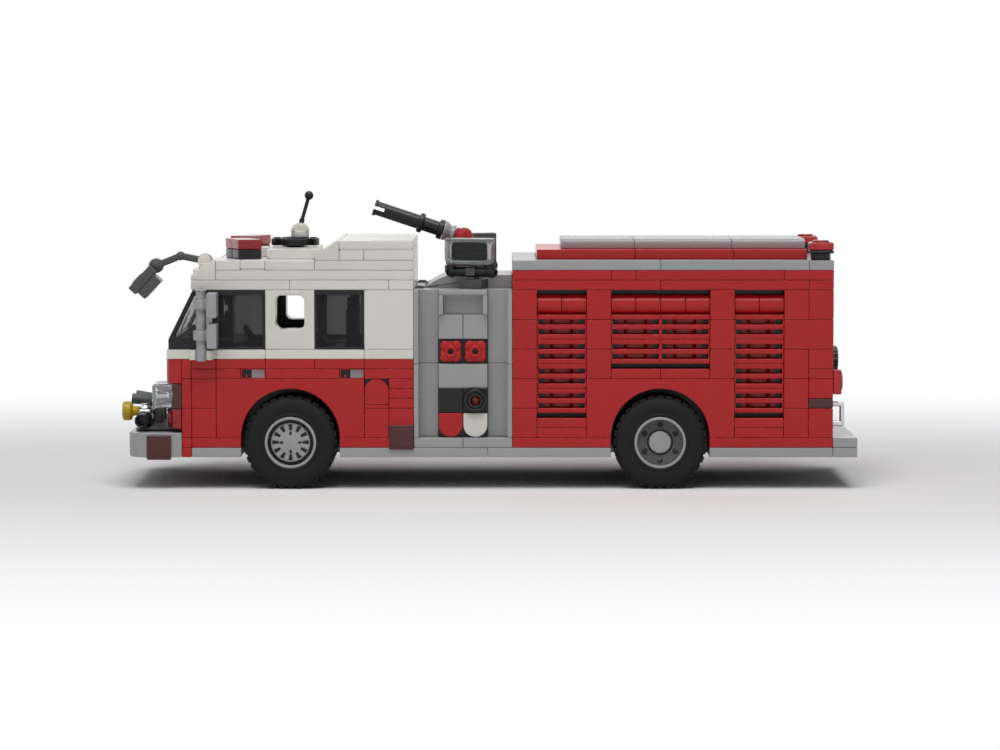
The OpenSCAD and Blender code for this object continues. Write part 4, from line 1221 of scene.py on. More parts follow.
class ENGINE_OT_cab_inside(bpy.types.Operator):
    """Floor, seats, dashboard, steering wheel and dark lining behind the windows."""

    bl_idname = "engine.cab_inside"
    bl_label = "Inside of the cab"

    def execute(self, context):
        """Makes what shows through the windows."""
        dark = Shape()
        dark.brick(CAB_FRONT, 4, -3, 3, ARCH, ARCH + 1)
        for _ in both_sides(dark):
            dark.prism(rounded(sx(0.2), sx(2.2), pz(ARCH + 1), pz(ARCH + 3), 1.4), 0.4 * STUD, 2.4 * STUD,
                       "y")
            foot, top = pz(ARCH + 1), pz(15)
            back = [(sx(2.2), foot), (sx(2.6), foot), (sx(2.6), top - 1), (sx(2.5), top), (sx(2.3), top),
                    (sx(2.2), top - 1)]
            dark.prism(back, 0.4 * STUD, 2.4 * STUD, "y")
            dark.prism(rounded(0.9 * STUD, 1.9 * STUD, pz(15) - 0.2, pz(16) - 0.4, 1.2), sx(2.22),
                       sx(2.58), "x")
        dark.prism([(sx(-2.9), pz(ARCH + 1)), (sx(-2.1), pz(ARCH + 1)), (sx(-2.1), pz(GLASS) - 1),
                    (sx(-2.4), pz(GLASS + 0.6)), (sx(-2.9), pz(GLASS + 0.6))], -2.8 * STUD, 2.8 * STUD, "y")
        column = turned(60, "Y", (sx(-2.1), -1.4 * STUD, pz(GLASS)))
        with moved(column, dark):
            dark.rod((0, 0, 0), "z", 1, -0.8, 3.4)
            dark.ring((0, 0, 0), "z", 4.1, 5.5, 3, 4.4, edge=0.5)
            dark.rod((0, 0, 0), "z", 1.5, 3, 4.2)
            for turn in (0, 120, 240):
                with moved(turned(turn, "Z"), dark):
                    dark.box(0.5, 4.6, -0.6, 0.6, 3.2, 4, 0.15)
        lining = 0.25
        inner = (HALF - 1) * STUD
        opening = cab_opening()
        for _ in both_sides(dark):
            dark.prism(rectangle(sx(-1), sx(1), pz(BELT), pz(EAVES)), inner - 1.2, inner - 0.02, "y",
                       opening, 0.1)
            dark.box(sx(3), sx(4) - lining, inner - 1.2, inner - 0.02, pz(BELT), pz(EAVES), 0.1)
            dark.box(sx(-3), sx(4) - lining, inner - 0.9, inner - 0.02, pz(ARCH + 1), pz(GLASS) - 0.2, 0.1)
        dark.box(sx(4) - 1.2, sx(4) - 0.02, 1 - inner, inner - 1, pz(ARCH + 1), pz(EAVES), 0.1)
        dark.box(sx(-3), sx(4) - lining, 1 - inner, inner - 1, pz(EAVES) - 0.5, pz(EAVES) - 0.02, 0.1)
        dark.make("cab_fittings", "black", "cab_interior")
        stud = Shape()
        stud.rod((0, 0, 0), "z", PIN_R, 0, STUD_H, edge=0.15, steps=24)
        grid = [(sx(n + 0.5), side * 2.5 * STUD) for n in range(-3, 4) for side in (1, -1)]
        places = [(*place, pz(GLASS) - 0.3) for place in grid]
        ledge = Shape()
        for _ in both_sides(ledge):
            ledge.box(sx(-3), sx(4) - 1.3, 2 * STUD, 3 * STUD - 1.2, pz(GLASS) - 1.8, pz(GLASS) - 0.28,
                      0.15)
        ledge.make("window_ledges", "dark_grey")
        on_spots("window_ledge_studs", stud, places, "dark_grey")
        return {"FINISHED"}


# ---------- roof ----------


class ENGINE_OT_cab_roof(bpy.types.Operator):
    """White plates, tiles and small slopes of the cab's roof, and the box at its back."""

    bl_idname = "engine.cab_roof"
    bl_label = "Cab roof"

    lip = 1.5

    def slope(self, shape, xa, ya, yb, foot, head):
        """A slope one stud long that rises towards the back, with a small lip at its front."""
        gap = shape.sizes.seam / 2
        x0, x1 = sx(xa) + gap, sx(xa + 1) - gap
        outline = [(x0, pz(foot) + gap), (x1, pz(foot) + gap), (x1, pz(head) - gap),
                   (x1 - 0.9, pz(head) - gap),
                   (x0, pz(foot) + self.lip)]
        shape.prism(outline, ya * STUD + gap, yb * STUD - gap, "y")

    def tiled(self, shape, xa, xb, foot, cuts):
        """A row of tiles with the fine groove round their foot."""
        for ya, yb in spans(cuts):
            gap = shape.sizes.seam / 2
            x0, x1, y0, y1 = sx(xa) + gap, sx(xb) - gap, ya * STUD + gap, yb * STUD - gap
            shape.box(x0 + 0.25, x1 - 0.25, y0 + 0.25, y1 - 0.25, pz(foot), pz(foot) + 0.8, 0.02)
            shape.box(x0, x1, y0, y1, pz(foot) + 0.45, pz(foot + 1) - gap)

    def execute(self, context):
        """Makes the roof in three layers and the box."""
        roof = Shape()
        halves = spans((-4, 0, 4))
        roof.lay(spans((-4, 0, 4, 5)), spans((-4, -2, 2, 4)), [(EAVES, EAVES + 1)])
        roof.lay([(-4, -3)], spans((-3, -1, 1, 3)), [(EAVES + 1, EAVES + 2)])
        roof.lay([(-3, 5)], halves, [(EAVES + 1, EAVES + 2)])
        roof.brick(-3, -2, -4, 4, EAVES + 2, ROOF)
        self.tiled(roof, -2, -1, EAVES + 2, (-4, -3, -1, 1, 3, 4))
        roof.brick(-1, 1, -4, 4, EAVES + 2, ROOF)
        roof.lay([(1, 5)], halves, [(EAVES + 2, ROOF)])
        for _ in both_sides(roof):
            self.slope(roof, -4, 3, 4, EAVES + 1, ROOF)
        for n in (-2.5, -1.5, 1.5, 2.5):
            roof.stud(-3.5, n, EAVES + 2)
        hub = pivot("mirror_swing")
        roof.box(hub.x - 2, hub.x + 2, hub.y + 1.7, hub.y + 4.7, pz(ROOF - 1) - 0.05, hub.z + 1, 0.3)
        roof.rod((hub.x, 0, hub.z), "y", BAR_R, hub.y - 1.6, hub.y + 2, edge=0.1)
        roof.make("roof_plates", "white", "cab_roof")

        box = Shape()
        head = round((high("roof_box").z - FLOOR_Z) / PLATE)
        for ya, yb in spans((-4, -2, 0, 2, 4)):
            self.slope(box, 1, ya, yb, ROOF, head)
        box.lay(spans((2, 3, 5)), halves, [(ROOF, ROOF + 1)])
        self.tiled(box, 2, 5, head - 1, (-4, -2, 0, 2, 4))
        box.make("roof_box_bricks", "white", "roof_box")

        vent = Shape()
        x0, x1 = low("roof_vent").x, high("roof_vent").x
        y1, z0, z1 = high("roof_vent").y, pz(ROOF), pz(ROOF + 1)
        radius = 1.5
        outline = [(x1, z0 + radius), (x1, z1), (x0, z1), (x0, z0 + radius)]
        outline += arc(x0 + radius, z0 + radius, radius, 180, 270, 6)[1:]
        outline += arc(x1 - radius, z0 + radius, radius, 270, 360, 6)[:-1]
        cuts = [-y1 + 2 * y1 * k / 3 for k in range(4)]
        for ya, yb in spans(cuts):
            vent.prism(outline, ya + SLIT, yb - SLIT, "y")
        vent.make("roof_vent_tiles", "white", "roof_vent")
        return {"FINISHED"}


class ENGINE_OT_roof_lights(bpy.types.Operator):
    """The beacons on the cab in a shallow vee, and the two on the rear corners of the body."""

    bl_idname = "engine.roof_lights"
    bl_label = "Beacons"

    vee = 20

    def execute(self, context):
        """Makes black bases and red lenses."""
        black, lens, white = Shape(), Shape(), Shape()
        corner = (sx(BODY_BACK) - STUD / 2, (HALF - 0.5) * STUD, 0)
        for _ in both_sides(black, lens):
            with moved(turned(-self.vee, "Z", (sx(-2), 2 * STUD, 0)), black, lens):
                for n in (-1, 0):
                    y0, y1 = n * STUD + 0.06, (n + 1) * STUD - 0.06
                    black.box(-3.9, 3.9, y0 + 0.2, y1 - 0.2, pz(ROOF), pz(ROOF + 1) - 0.05, 0.3)
                    lens.box(-3.95, 3.95, y0, y1, pz(ROOF + 1) + 0.02, pz(ROOF + 2), 0.25)
            with moved(Matrix.Translation(corner), black, lens):
                black.rod((0, 0, 0), "z", 3.2, pz(TRIM + 1), pz(TRIM + 2) - 0.9, edge=0.3)
                black.box(-3.95, 3.95, -3.95, 3.95, pz(TRIM + 2) - 1, pz(TRIM + 2), 0.3)
                lens.box(-3.9, 3.9, -3.9, 3.9, pz(TRIM + 2), pz(TRIM + 3) - 0.6, 0.5)
                lens.rod((0, 0, 0), "z", 2.7, pz(TRIM + 3) - 0.8, pz(TRIM + 3), edge=0.3, steps=32)
        black.box(sx(-2.4), sx(-1.6), -4.8, 4.8, pz(ROOF), pz(ROOF) + 1.6 * PLATE, 0.3)
        white.box(sx(-1.55), sx(-1.05), -6, 6, pz(ROOF), pz(ROOF + 1), 0.3)
        black.make("beacon_feet", "black", "beacon_bases")
        lens.make("beacon_domes", "red_lens", "beacon_lenses")
        white.make("beacon_block", "white")
        return {"FINISHED"}


class ENGINE_OT_roof_gear(bpy.types.Operator):
    """The notched black disc, the white dome on it and the tilting aerial."""

    bl_idname = "engine.roof_gear"
    bl_label = "Aerial"

    def execute(self, context):
        """Makes the disc, its dome and the aerial."""
        disc, dome = Shape(), Shape()
        radius = (high("radar_disc").x - low("radar_disc").x) / 2
        foot, outline = pz(ROOF + 1), []
        for k in range(4):
            middle = 90 * k
            outline += arc(0, 0, radius - 0.02, middle - 33, middle + 33, 12)
            outline += arc(0, 0, radius - 2.4, middle + 34, middle + 56, 5)
        outline = [(sx(0) + x, y) for x, y in outline]
        disc.prism(outline, foot + 0.5, pz(ROOF + 2) - 0.35, "z")
        disc.rod((sx(0), 0, 0), "z", PIN_R + 0.6, foot, foot + 0.7, edge=0.1)
        disc.ring((sx(0), 0, 0), "z", 3.4, 4.6, pz(ROOF + 2) - 0.5, pz(ROOF + 2), edge=0.15)
        for x, y in ring_places(4, 6):
            disc.rod((sx(0) + x, y, 0), "z", 1.2, pz(ROOF + 2) - 0.5, pz(ROOF + 2), edge=0.15, steps=20)
        disc.make("notched_disc", "black", "radar_disc")
        mast = pivot("antenna_tilt")
        r = 0.375 * STUD
        for side in (-1, 1):
            outline = arc(0, 0, r, 0, 180, 14)
            dome.prism([(mast.x + x, pz(ROOF + 2) + 0.55 * PLATE + z) for x, z in outline],
                       side * 0.95, side * 1.7, "y", edge=0.3)
            dome.prism([(mast.x + 0.86 * x, pz(ROOF + 2) + 0.55 * PLATE + 0.86 * z) for x, z in outline],
                       side * 1.65, side * 2.4, "y", edge=0.4)
        dome.ring((mast.x, 0, 0), "z", 1.2, r, pz(ROOF + 2), pz(ROOF + 2) + 0.6 * PLATE, edge=0.2)
        dome.rod((mast.x, 0, 0), "z", 2.2, pz(ROOF + 2), pz(ROOF + 2) + 0.6, edge=0.1)
        dome.rod((mast.x, 0, mast.z), "y", 0.6, -1.1, 1.1, edge=0.05, steps=24)
        dome.make("aerial_socket", "white")

        lever = Shape()
        reach = 10.8
        with moved(turned(16, "Y", mast), lever):
            lever.ring((0, 0, 0), "y", 0.64, 1.3, -0.7, 0.7, edge=0.1, steps=32)
            lever.lathe([(0, 0.9), (0.75, 0.9), (0.9, 2.2), (0.62, 3), (0.62, reach - 0.9),
                         (0.8, reach - 0.6), (0, reach)],
                        (0, 0, 0), "z", steps=24, edge=0.1)
            lever.ball((0, 0, reach), 1.5, steps=28)
        lever.make("aerial", "black", "antenna_lever", body="antenna")
        return {"FINISHED"}


class ENGINE_OT_mirror(bpy.types.Operator):
    """The jointed dark arm over the nose, with its mirror plates."""

    bl_idname = "engine.mirror"
    bl_label = "Front mirror"

    elbows = ((0, 0), (8, 1.6), (16, -1.6))
    dip = 47
    blade = 11.3

    def execute(self, context):
        """Makes the arm from its links, elbows and plates."""
        arm, hub_disc = Shape(), Shape()
        hub = pivot("mirror_swing")
        with moved(Matrix.Translation(hub), arm):
            for (x, z), radius in zip(self.elbows, (2.4, 1.45, 2.4)):
                if x == 0:
                    arm.ring((0, 0, 0), "y", 1.63, radius, -1.4, 1.4, edge=0.3)
                else:
                    arm.rod((-x, 0, z), "y", radius, -1.4, 1.4, edge=0.3)
                    arm.rod((-x, 0, z), "y", radius * 0.55, -1.7, 1.7, edge=0.15)
            for (xa, za), (xb, zb) in zip(self.elbows, self.elbows[1:]):
                run = math.hypot(xb - xa, zb - za)
                turn = Matrix.Rotation(math.atan2(zb - za, xb - xa), 4, "Y")
                with moved(Matrix.Translation((-xa, 0, za)) @ turn, arm):
                    start = -1.9 if xa == 0 else 0
                    arm.box(-run, start, -1.3, 1.3, -1.1, 1.1, 0.35)
            x, z = self.elbows[-1]
            with moved(turned(-self.dip, "Y", (-x, 0, z)), arm):
                arm.box(-self.blade, -1, -STUD / 2, STUD / 2, -PLATE / 2, PLATE / 2, 0.3)
                arm.box(1 - self.blade, 1 - self.blade + STUD, -STUD / 2, STUD / 2, -1.5 * PLATE,
                        0.05 - PLATE / 2, 0.3)
                arm.rod((-7.5, 0, 0), "z", PIN_R, PLATE / 2 - 0.1, PLATE / 2 + 0.35, edge=0.15, steps=24)
        arm.make("front_mirror_arm", "dark_grey", "mirror_arm", body="mirror")
        with moved(Matrix.Translation(hub), hub_disc):
            hub_disc.rod((0, 0, 0), "y", 2.3, -1.8, -1.5, edge=0.1)
        hub_disc.make("mirror_hub_cap", "white")
        return {"FINISHED"}


# ---------- pump section ----------

PUMP_MID = (CAB_BACK + PUMP_BACK) / 2
CELL = (EAVES - 2) * PLATE / 6


class ENGINE_OT_pump_panel(bpy.types.Operator):
    """The grey panel on each side of the pump, with tiles, valve wheels, a port and half-round tiles."""

    bl_idname = "engine.pump_panel"
    bl_label = "Pump panels"

    def cell(self, row, column=0):
        """Moves a module of the panel, drawn from its foot, to its place."""
        place = (sx(PUMP_MID) + (column - 1) * CELL, high("pump_frame").y - 3 * WALL,
                 pz(EAVES) - (row + 1) * CELL)
        return Matrix.Translation(place)

    def half_round(self, shape):
        """A tile whose foot is round."""
        r = CELL / 2 - 0.1
        outline = arc(CELL / 2, CELL / 2, r, 180, 360, 16) + [(CELL - 0.1, CELL - 0.1), (0.1, CELL - 0.1)]
        shape.prism(outline, WALL + 0.02, 2 * WALL + 0.1, "y")

    def valve(self, shape):
        """A four-lobed wheel with a hole in its hub."""
        shape.ring((CELL / 2, 0, CELL / 2), "y", 0.95, 3.35, WALL, 2 * WALL, edge=0.15)
        for x, z in ring_places(4, 2.6, 45):
            shape.rod((CELL / 2 + x, 0, CELL / 2 + z), "y", 1.65, WALL, 2.15 * WALL, edge=0.3, steps=28)
        shape.ring((CELL / 2, 0, CELL / 2), "y", 0.95, 2.0, 1.9 * WALL, 2.5 * WALL, edge=0.2)

    def execute(self, context):
        """Makes both panels."""
        grey, light, black, red, white, rim = shapes = [Shape() for _ in range(6)]
        face = high("pump_frame").y - 3 * WALL
        edge, gap = 0.2 * STUD, 0.03
        x0, x1 = sx(CAB_BACK), sx(PUMP_BACK)
        hub = (CELL / 2, 0, CELL / 2)
        for _ in both_sides(*shapes):
            for p0, p1 in spans((2, 9.5, EAVES)):
                z0, z1 = pz(p0) + gap, pz(p1) - gap
                for xa, xb in ((x0, x0 + STUD), (x1 - STUD, x1)):
                    grey.box(xa + gap, xb - gap, face - PLATE, face, z0, z1)
                grey.box(x0 + gap, x0 + edge, face - 0.1, SIDE_Y, z0, z1)
                grey.box(x1 - edge, x1 - gap, face - 0.1, SIDE_Y, z0, z1)
            grey.box(x0 + STUD, x1 - STUD, face - PLATE, face, pz(2), pz(EAVES) - 0.02)
            with moved(self.cell(0), light):
                self.recess(light)
            for column in (0, 1):
                with moved(self.cell(1, column), light):
                    light.box(0, CELL, 0, WALL, 0, CELL, 0.02)
                    light.box(0.08, CELL - 0.08, WALL + 0.1, 2 * WALL, 0.08, CELL - 0.08)
                with moved(self.cell(2, column), red):
                    self.valve(red)
            with moved(self.cell(3), light):
                light.box(0.06, 2 * CELL - 0.06, 0, 2.5 * WALL, 0.4, CELL - 0.06)
                light.box(0.3, 2 * CELL - 0.3, 0, 2.2 * WALL, 0.04, 0.5, 0.05)
            for row in (2, 4, 5):
                with moved(self.cell(row), black):
                    black.box(0, 2 * CELL, 0, WALL, 0.02, CELL - 0.02, 0.05)
            with moved(self.cell(4), black):
                black.box(0.1, CELL - 0.1, WALL - 0.1, 2 * WALL, 0.1, CELL - 0.1)
            with moved(self.cell(4, 1), black, rim):
                black.ring(hub, "y", 2.6, 3.9, WALL - 0.1, 3 * WALL, edge=0.25)
                black.ring(hub, "y", 1.55, 2.7, WALL - 0.1, 2.8 * WALL, edge=0.2)
                for x, z in ring_places(8, 3.35):
                    where = (CELL / 2 + x, 0, CELL / 2 + z)
                    black.rod(where, "y", 0.28, 3 * WALL - 0.1, 3 * WALL + 0.12, edge=0.05, steps=12)
                rim.rod(hub, "y", 1.6, WALL, 1.9 * WALL, edge=0.1)
            with moved(self.cell(5), red):
                self.half_round(red)
            with moved(self.cell(5, 1), white):
                self.half_round(white)
        grey.make("pump_panel_walls", "light_grey", "pump_frame")
        light.make("pump_panel_tiles", "light_grey", "pump_tiles")
        black.make("pump_panel_ports", "black", "pump_ports")
        rim.make("port_plug", "red_lens")
        red.make("valve_wheels_and_tile", "red", "valve_wheels")
        white.make("pump_half_tile", "white", "pump_plates")
        return {"FINISHED"}

    def recess(self, shape):
        """The open recess at the panel's head: two cheeks, a lintel and a back."""
        wide, gap = 2 * CELL, 0.05
        shape.box(gap, WALL, 0, 3 * WALL, gap, CELL - WALL, 0.2)
        shape.box(wide - WALL, wide - gap, 0, 3 * WALL, gap, CELL - WALL, 0.2)
        shape.box(gap, wide - gap, 0, 3 * WALL, CELL - WALL - 0.02, CELL - gap, 0.25)
        shape.box(WALL, wide - WALL, 0, WALL, gap, CELL - WALL, 0.1)


class ENGINE_OT_pump_roof(bpy.types.Operator):
    """The grey roof over the pump, a curved rise and small fittings on it."""

    bl_idname = "engine.pump_roof"
    bl_label = "Pump roof"

    def execute(self, context):
        """Makes the roof."""
        roof = Shape()
        wide, head = high("pump_frame").y - 3 * WALL, high("pump_roof").z
        foot = pz(EAVES - 1)
        for xa, xb in ((CAB_BACK, 7), (7, PUMP_BACK)):
            for y0, y1 in ((-wide + PLATE, 0), (0, wide - PLATE)):
                roof.box(sx(xa) + SLIT, sx(xb) - SLIT, y0 + SLIT, y1 - SLIT, foot, pz(EAVES))
        x0, x1, x2 = sx(CAB_BACK + 0.4), sx(CAB_BACK + 1.6), sx(PUMP_BACK)
        rise = head - pz(EAVES)
        shares = [k / 10 for k in range(11)]
        curve = [(x0 + (x1 - x0) * k, pz(EAVES) + rise * math.sin(math.pi / 2 * k)) for k in shares]
        outline = curve + [(x2 - 0.05, head), (x2 - 0.05, pz(EAVES) + 0.02), (x0, pz(EAVES) + 0.02)]
        cuts = (-2, -1, 0, 1, 2)
        for ya, yb in spans(cuts):
            roof.prism(outline, ya * STUD + 0.05, yb * STUD - 0.05, "y")
        roof.make("pump_roof_slopes", "light_grey", "pump_roof")
        clip = Shape()
        for _ in both_sides(clip):
            x = sx(CAB_BACK + 0.22)
            clip.box(x - 1.5, x + 1.5, 17, 21, pz(EAVES) - 0.02, pz(EAVES) + 0.5, 0.15)
            clip.rod((x, 19, 0), "z", 1.2, pz(EAVES) + 0.4, pz(EAVES) + 0.8, edge=0.1, steps=28)
        clip.make("pump_roof_clips", "dark_grey")
        return {"FINISHED"}


class ENGINE_OT_floodlights(bpy.types.Operator):
    """Two clear floodlights on black bars and dark brackets."""

    bl_idname = "engine.floodlights"
    bl_label = "Floodlights"

    turn = 18

    def execute(self, context):
        """Makes brackets, bars, backs and lenses."""
        bracket, back, case, lens, panel = shapes = [Shape() for _ in range(5)]
        lamp = turned(self.turn, "Z", (sx(PUMP_MID + 0.4), (HALF - 1.35) * STUD, pz(EAVES)))
        half, bar_y, bar_z = STUD, 1.4, 1.7 * PLATE
        foot = bar_z + BAR_R + 0.9
        top = foot + 8.6
        face = bar_y + 0.45
        for _ in both_sides(*shapes):
            with moved(lamp, *shapes):
                bracket.box(-STUD / 2, STUD / 2, -STUD / 2, STUD / 2 - 1, 0, PLATE, 0.25)
                for y0, y1, z0, z1, edge in (
                        (-1.6, 0.2, PLATE - 0.2, bar_z + 2.2, 0.3),
                        (2.6, 3.4, bar_z - 1.2, bar_z + 1.4, 0.25),
                        (-1.0, 3.2, PLATE - 0.2, bar_z - BAR_R, 0.2)):
                    bracket.box(-1.6, 1.6, y0, y1, z0, z1, edge)
                back.rod((0, bar_y, bar_z), "x", BAR_R, 0.5 - half, half - 0.5, edge=0.3)
                for side in (-1, 1):
                    x = side * (half - 1.1)
                    back.ball((x, bar_y, bar_z), 1.95, "x", steps=28)
                    back.box(x - 1.1, x + 1.1, bar_y - 1.7, bar_y + 1.7, bar_z, foot, 0.3)
                case.box(-half, half, bar_y - 1.7, face, foot, top, 0.4)
                case.box(3 - half, half - 3, bar_y - 2, bar_y - 1.6, foot + 2, top - 2, 0.15)
                outline = [(0.5 - half, foot), (half - 0.5, foot), (half, foot + 2), (half, top),
                           (-half, top),
                           (-half, foot + 2)]
                hole = rounded(1.5 - half, half - 1.5, foot + 1.3, top - 1.3, 1.2)
                lens.prism(outline, face, face + 3.6, "y", hole, 0.35)
                inside = rounded(1.8 - half, half - 1.8, foot + 1.6, top - 1.6, 1.2)
                panel.prism(inside, face, bar_y + 1.9, "y", edge=0.2)
        bracket.make("floodlight_clips", "dark_grey", "floodlight_brackets")
        back.make("floodlight_bars", "black", "lamp_backs")
        case.make("floodlight_cases", "dark_grey")
        lens.make("floodlight_lenses", "clear_lens", "floodlights")
        panel.make("floodlight_panels", "black")
        return {"FINISHED"}


class ENGINE_OT_deck_gun(bpy.types.Operator):
    """The water gun: its turntable, red yoke and slotted black barrel."""

    bl_idname = "engine.deck_gun"
    bl_label = "Deck gun"

    lift = 18.4
    start = 7.2
    length = 24.2

    def execute(self, context):
        """Makes the three bodies of the gun."""
        base, yoke, barrel, cone, neck = Shape(), Shape(), Shape(), Shape(), Shape()
        hinge, foot = pivot("monitor_lift"), high("pump_roof").z
        x, up = hinge.x, hinge.z
        table = foot + 0.8 * PLATE
        base.rod((x, 0, 0), "z", 0.8 * STUD, foot, table, edge=0.3)
        base.rod((x, 0, 0), "z", PIN_R, table - 0.1, table + 1.4 * PLATE, edge=0.3)
        for across, y in ring_places(4, 5, 45):
            base.rod((x + across, y, 0), "z", 1.0, foot + 0.6 * PLATE, table + 0.1, 0.05, 20)
        base.make("gun_turntable", "dark_grey", "monitor_base")

        collar = table + 0.15
        cheek = 0.7 * STUD
        yoke.ring((x, 0, 0), "z", PIN_R + 0.06, 0.76 * STUD, collar, collar + 1.7 * PLATE, edge=0.3)
        yoke.ring((x, 0, 0), "z", PIN_R - 0.3, 0.6 * STUD, collar + 1.45 * PLATE, collar + 1.8 * PLATE,
                  edge=0.3)
        for side in (-1, 1):
            near, far = side * (cheek - WALL / 2), side * (cheek + WALL / 2)
            outline = [(x - 2.9, collar + 1), (x + 4.6, collar + 1), (x + 4.6, up - 3), (x + 2.5, up + 1.4)]
            outline += arc(x, up, 2.99, 30, 180, 12)
            yoke.prism(outline, near, far, "y")
            yoke.rod((x, 0, up), "y", 2.5, *sorted((far - side * 0.02, far + side * 0.5)), edge=0.15)
        yoke.prism([(x + 3.4, collar + 1), (x + 7.6, collar + 1), (x + 7.6, up - 4.4), (x + 5.6, up - 1.6),
                    (x + 3.4, up - 1)], WALL / 2 - cheek, cheek - WALL / 2, "y", edge=0.5)
        yoke.make("gun_yoke", "red", "monitor_yoke", body="monitor_turn")

        aim = turned(self.lift - 90, "Y", hinge)
        s, end = self.start, self.start + self.length
        with moved(aim, barrel):
            barrel.rod((0, 0, 0), "y", BAR_R - 0.03, 0.1 - cheek - WALL / 2, cheek + WALL / 2 - 0.1,
                       edge=0.1)
            barrel.rod((0, 0, 0), "y", 2.7, -cheek + WALL / 2 + 0.2, cheek - WALL / 2 - 0.2, edge=0.3)
            barrel.rod((0, 0, 0), "z", BAR_R, 0.5, s + 1)
            barrel.lathe([(0, s), (3.3, s), (3.3, s + 1.6), (2.35, s + 1.9), (2.35, s + 6.9),
                          (3.3, s + 7.1), (3.3, s + 8.5), (2.35, s + 8.8), (2.35, end - 3.6),
                          (0, end - 3.6)], (0, 0, 0), "z", edge=0.15)
            for turn in (0, 180):
                with moved(turned(turn, "Z"), barrel):
                    half = arc(0, 0, 2.35, 15, 165, 12) + arc(0, 0, BAR_R, 157, 23, 10)
                    lip = arc(0, 0, 2.7, 13, 167, 12) + arc(0, 0, BAR_R, 157, 23, 10)
                    with moved(turned(-90, "Z"), barrel):
                        barrel.prism(half, end - 3.7, end - 0.9, "z", edge=0.12)
                        barrel.prism(lip, end - 1, end, "z", edge=0.12)
        barrel.make("gun_barrel", "black", "monitor_barrel", body="monitor_tube")
        with moved(aim, cone):
            cone.lathe([(BAR_R + 0.05, s - 3.9), (2.9, s - 3.9), (2.9, s - 3.5), (2.25, s - 2.4),
                        (3.25, s - 0.7), (3.25, s - 0.1), (BAR_R + 0.05, s - 0.1)], (0, 0, 0), "z",
                        edge=0.12)
        with moved(aim, neck):
            neck.prism([(-2.5, 1.8), (-2.3, s - 4), (2.3, s - 4), (2.5, 1.8)], -3.4, 3.4, "y", edge=0.4)
        neck.make("gun_neck", "red", body="monitor_tube")
        cone.make("gun_cone", "light_grey", body="monitor_tube")
        return {"FINISHED"}


# ---------- equipment body ----------

BAYS = ((10, 2, 3), (13, 4, 8), (18, 2, 3))


class ENGINE_OT_body(bpy.types.Operator):
    """Red brickwork of the equipment body."""

    bl_idname = "engine.body"
    bl_label = "Body walls"

    def execute(self, context):
        """Lays the bricks of the sides, the ends and the tail."""
        red = Shape()
        wall, tail = [(HALF - 1, HALF)], BODY_BACK
        for _ in both_sides(red):
            for xa, xb, foot in ((9, 10, 2), (12, 13, 8), (17, 18, 8)):
                red.lay([(xa, xb)], wall, spans(range(foot, EAVES + 3, 3)))
            red.lay(((10, 12), (18, 20)), wall, [(2, 3)])
            red.lay(((20, 21), (21, tail)), wall, ((2, 5), (14, 17)))
            red.brick(20, 21, *wall[0], 5, 8)
            red.box(sx(21) + SLIT, sx(tail) - SLIT, (HALF - 1) * STUD, SIDE_Y - 0.85, pz(5), pz(6), 0.1)
            for xa, xb, pa, pb in ((21, tail, 6, 8), (20, 21, 8, 11), (21, tail, 8, 9), (21, tail, 9, 11),
                                   (20, tail, 11, 14)):
                red.brick(xa, xb, *wall[0], pa, pb)
            red.lay(spans((9, 15, 21, tail)), wall, [(EAVES, EAVES + 1)])
            red.lay(spans((9, 13, 14, 20, tail)), wall, [(EAVES + 1, TRIM)])
        for xa in (PUMP_BACK, tail - 1):
            for row, p in enumerate(range(2, EAVES, 3)):
                red.lay_across(xa, xa + 1, (-3, -1, 1, 3) if row % 2 else (-3, 0, 3), [(p, p + 3)])
            red.lay_across(xa, xa + 1, (-3, 0, 3), spans((EAVES, EAVES + 1, EAVES + 2)))
        red.make("body_bricks", "red", "body_walls")
        return {"FINISHED"}


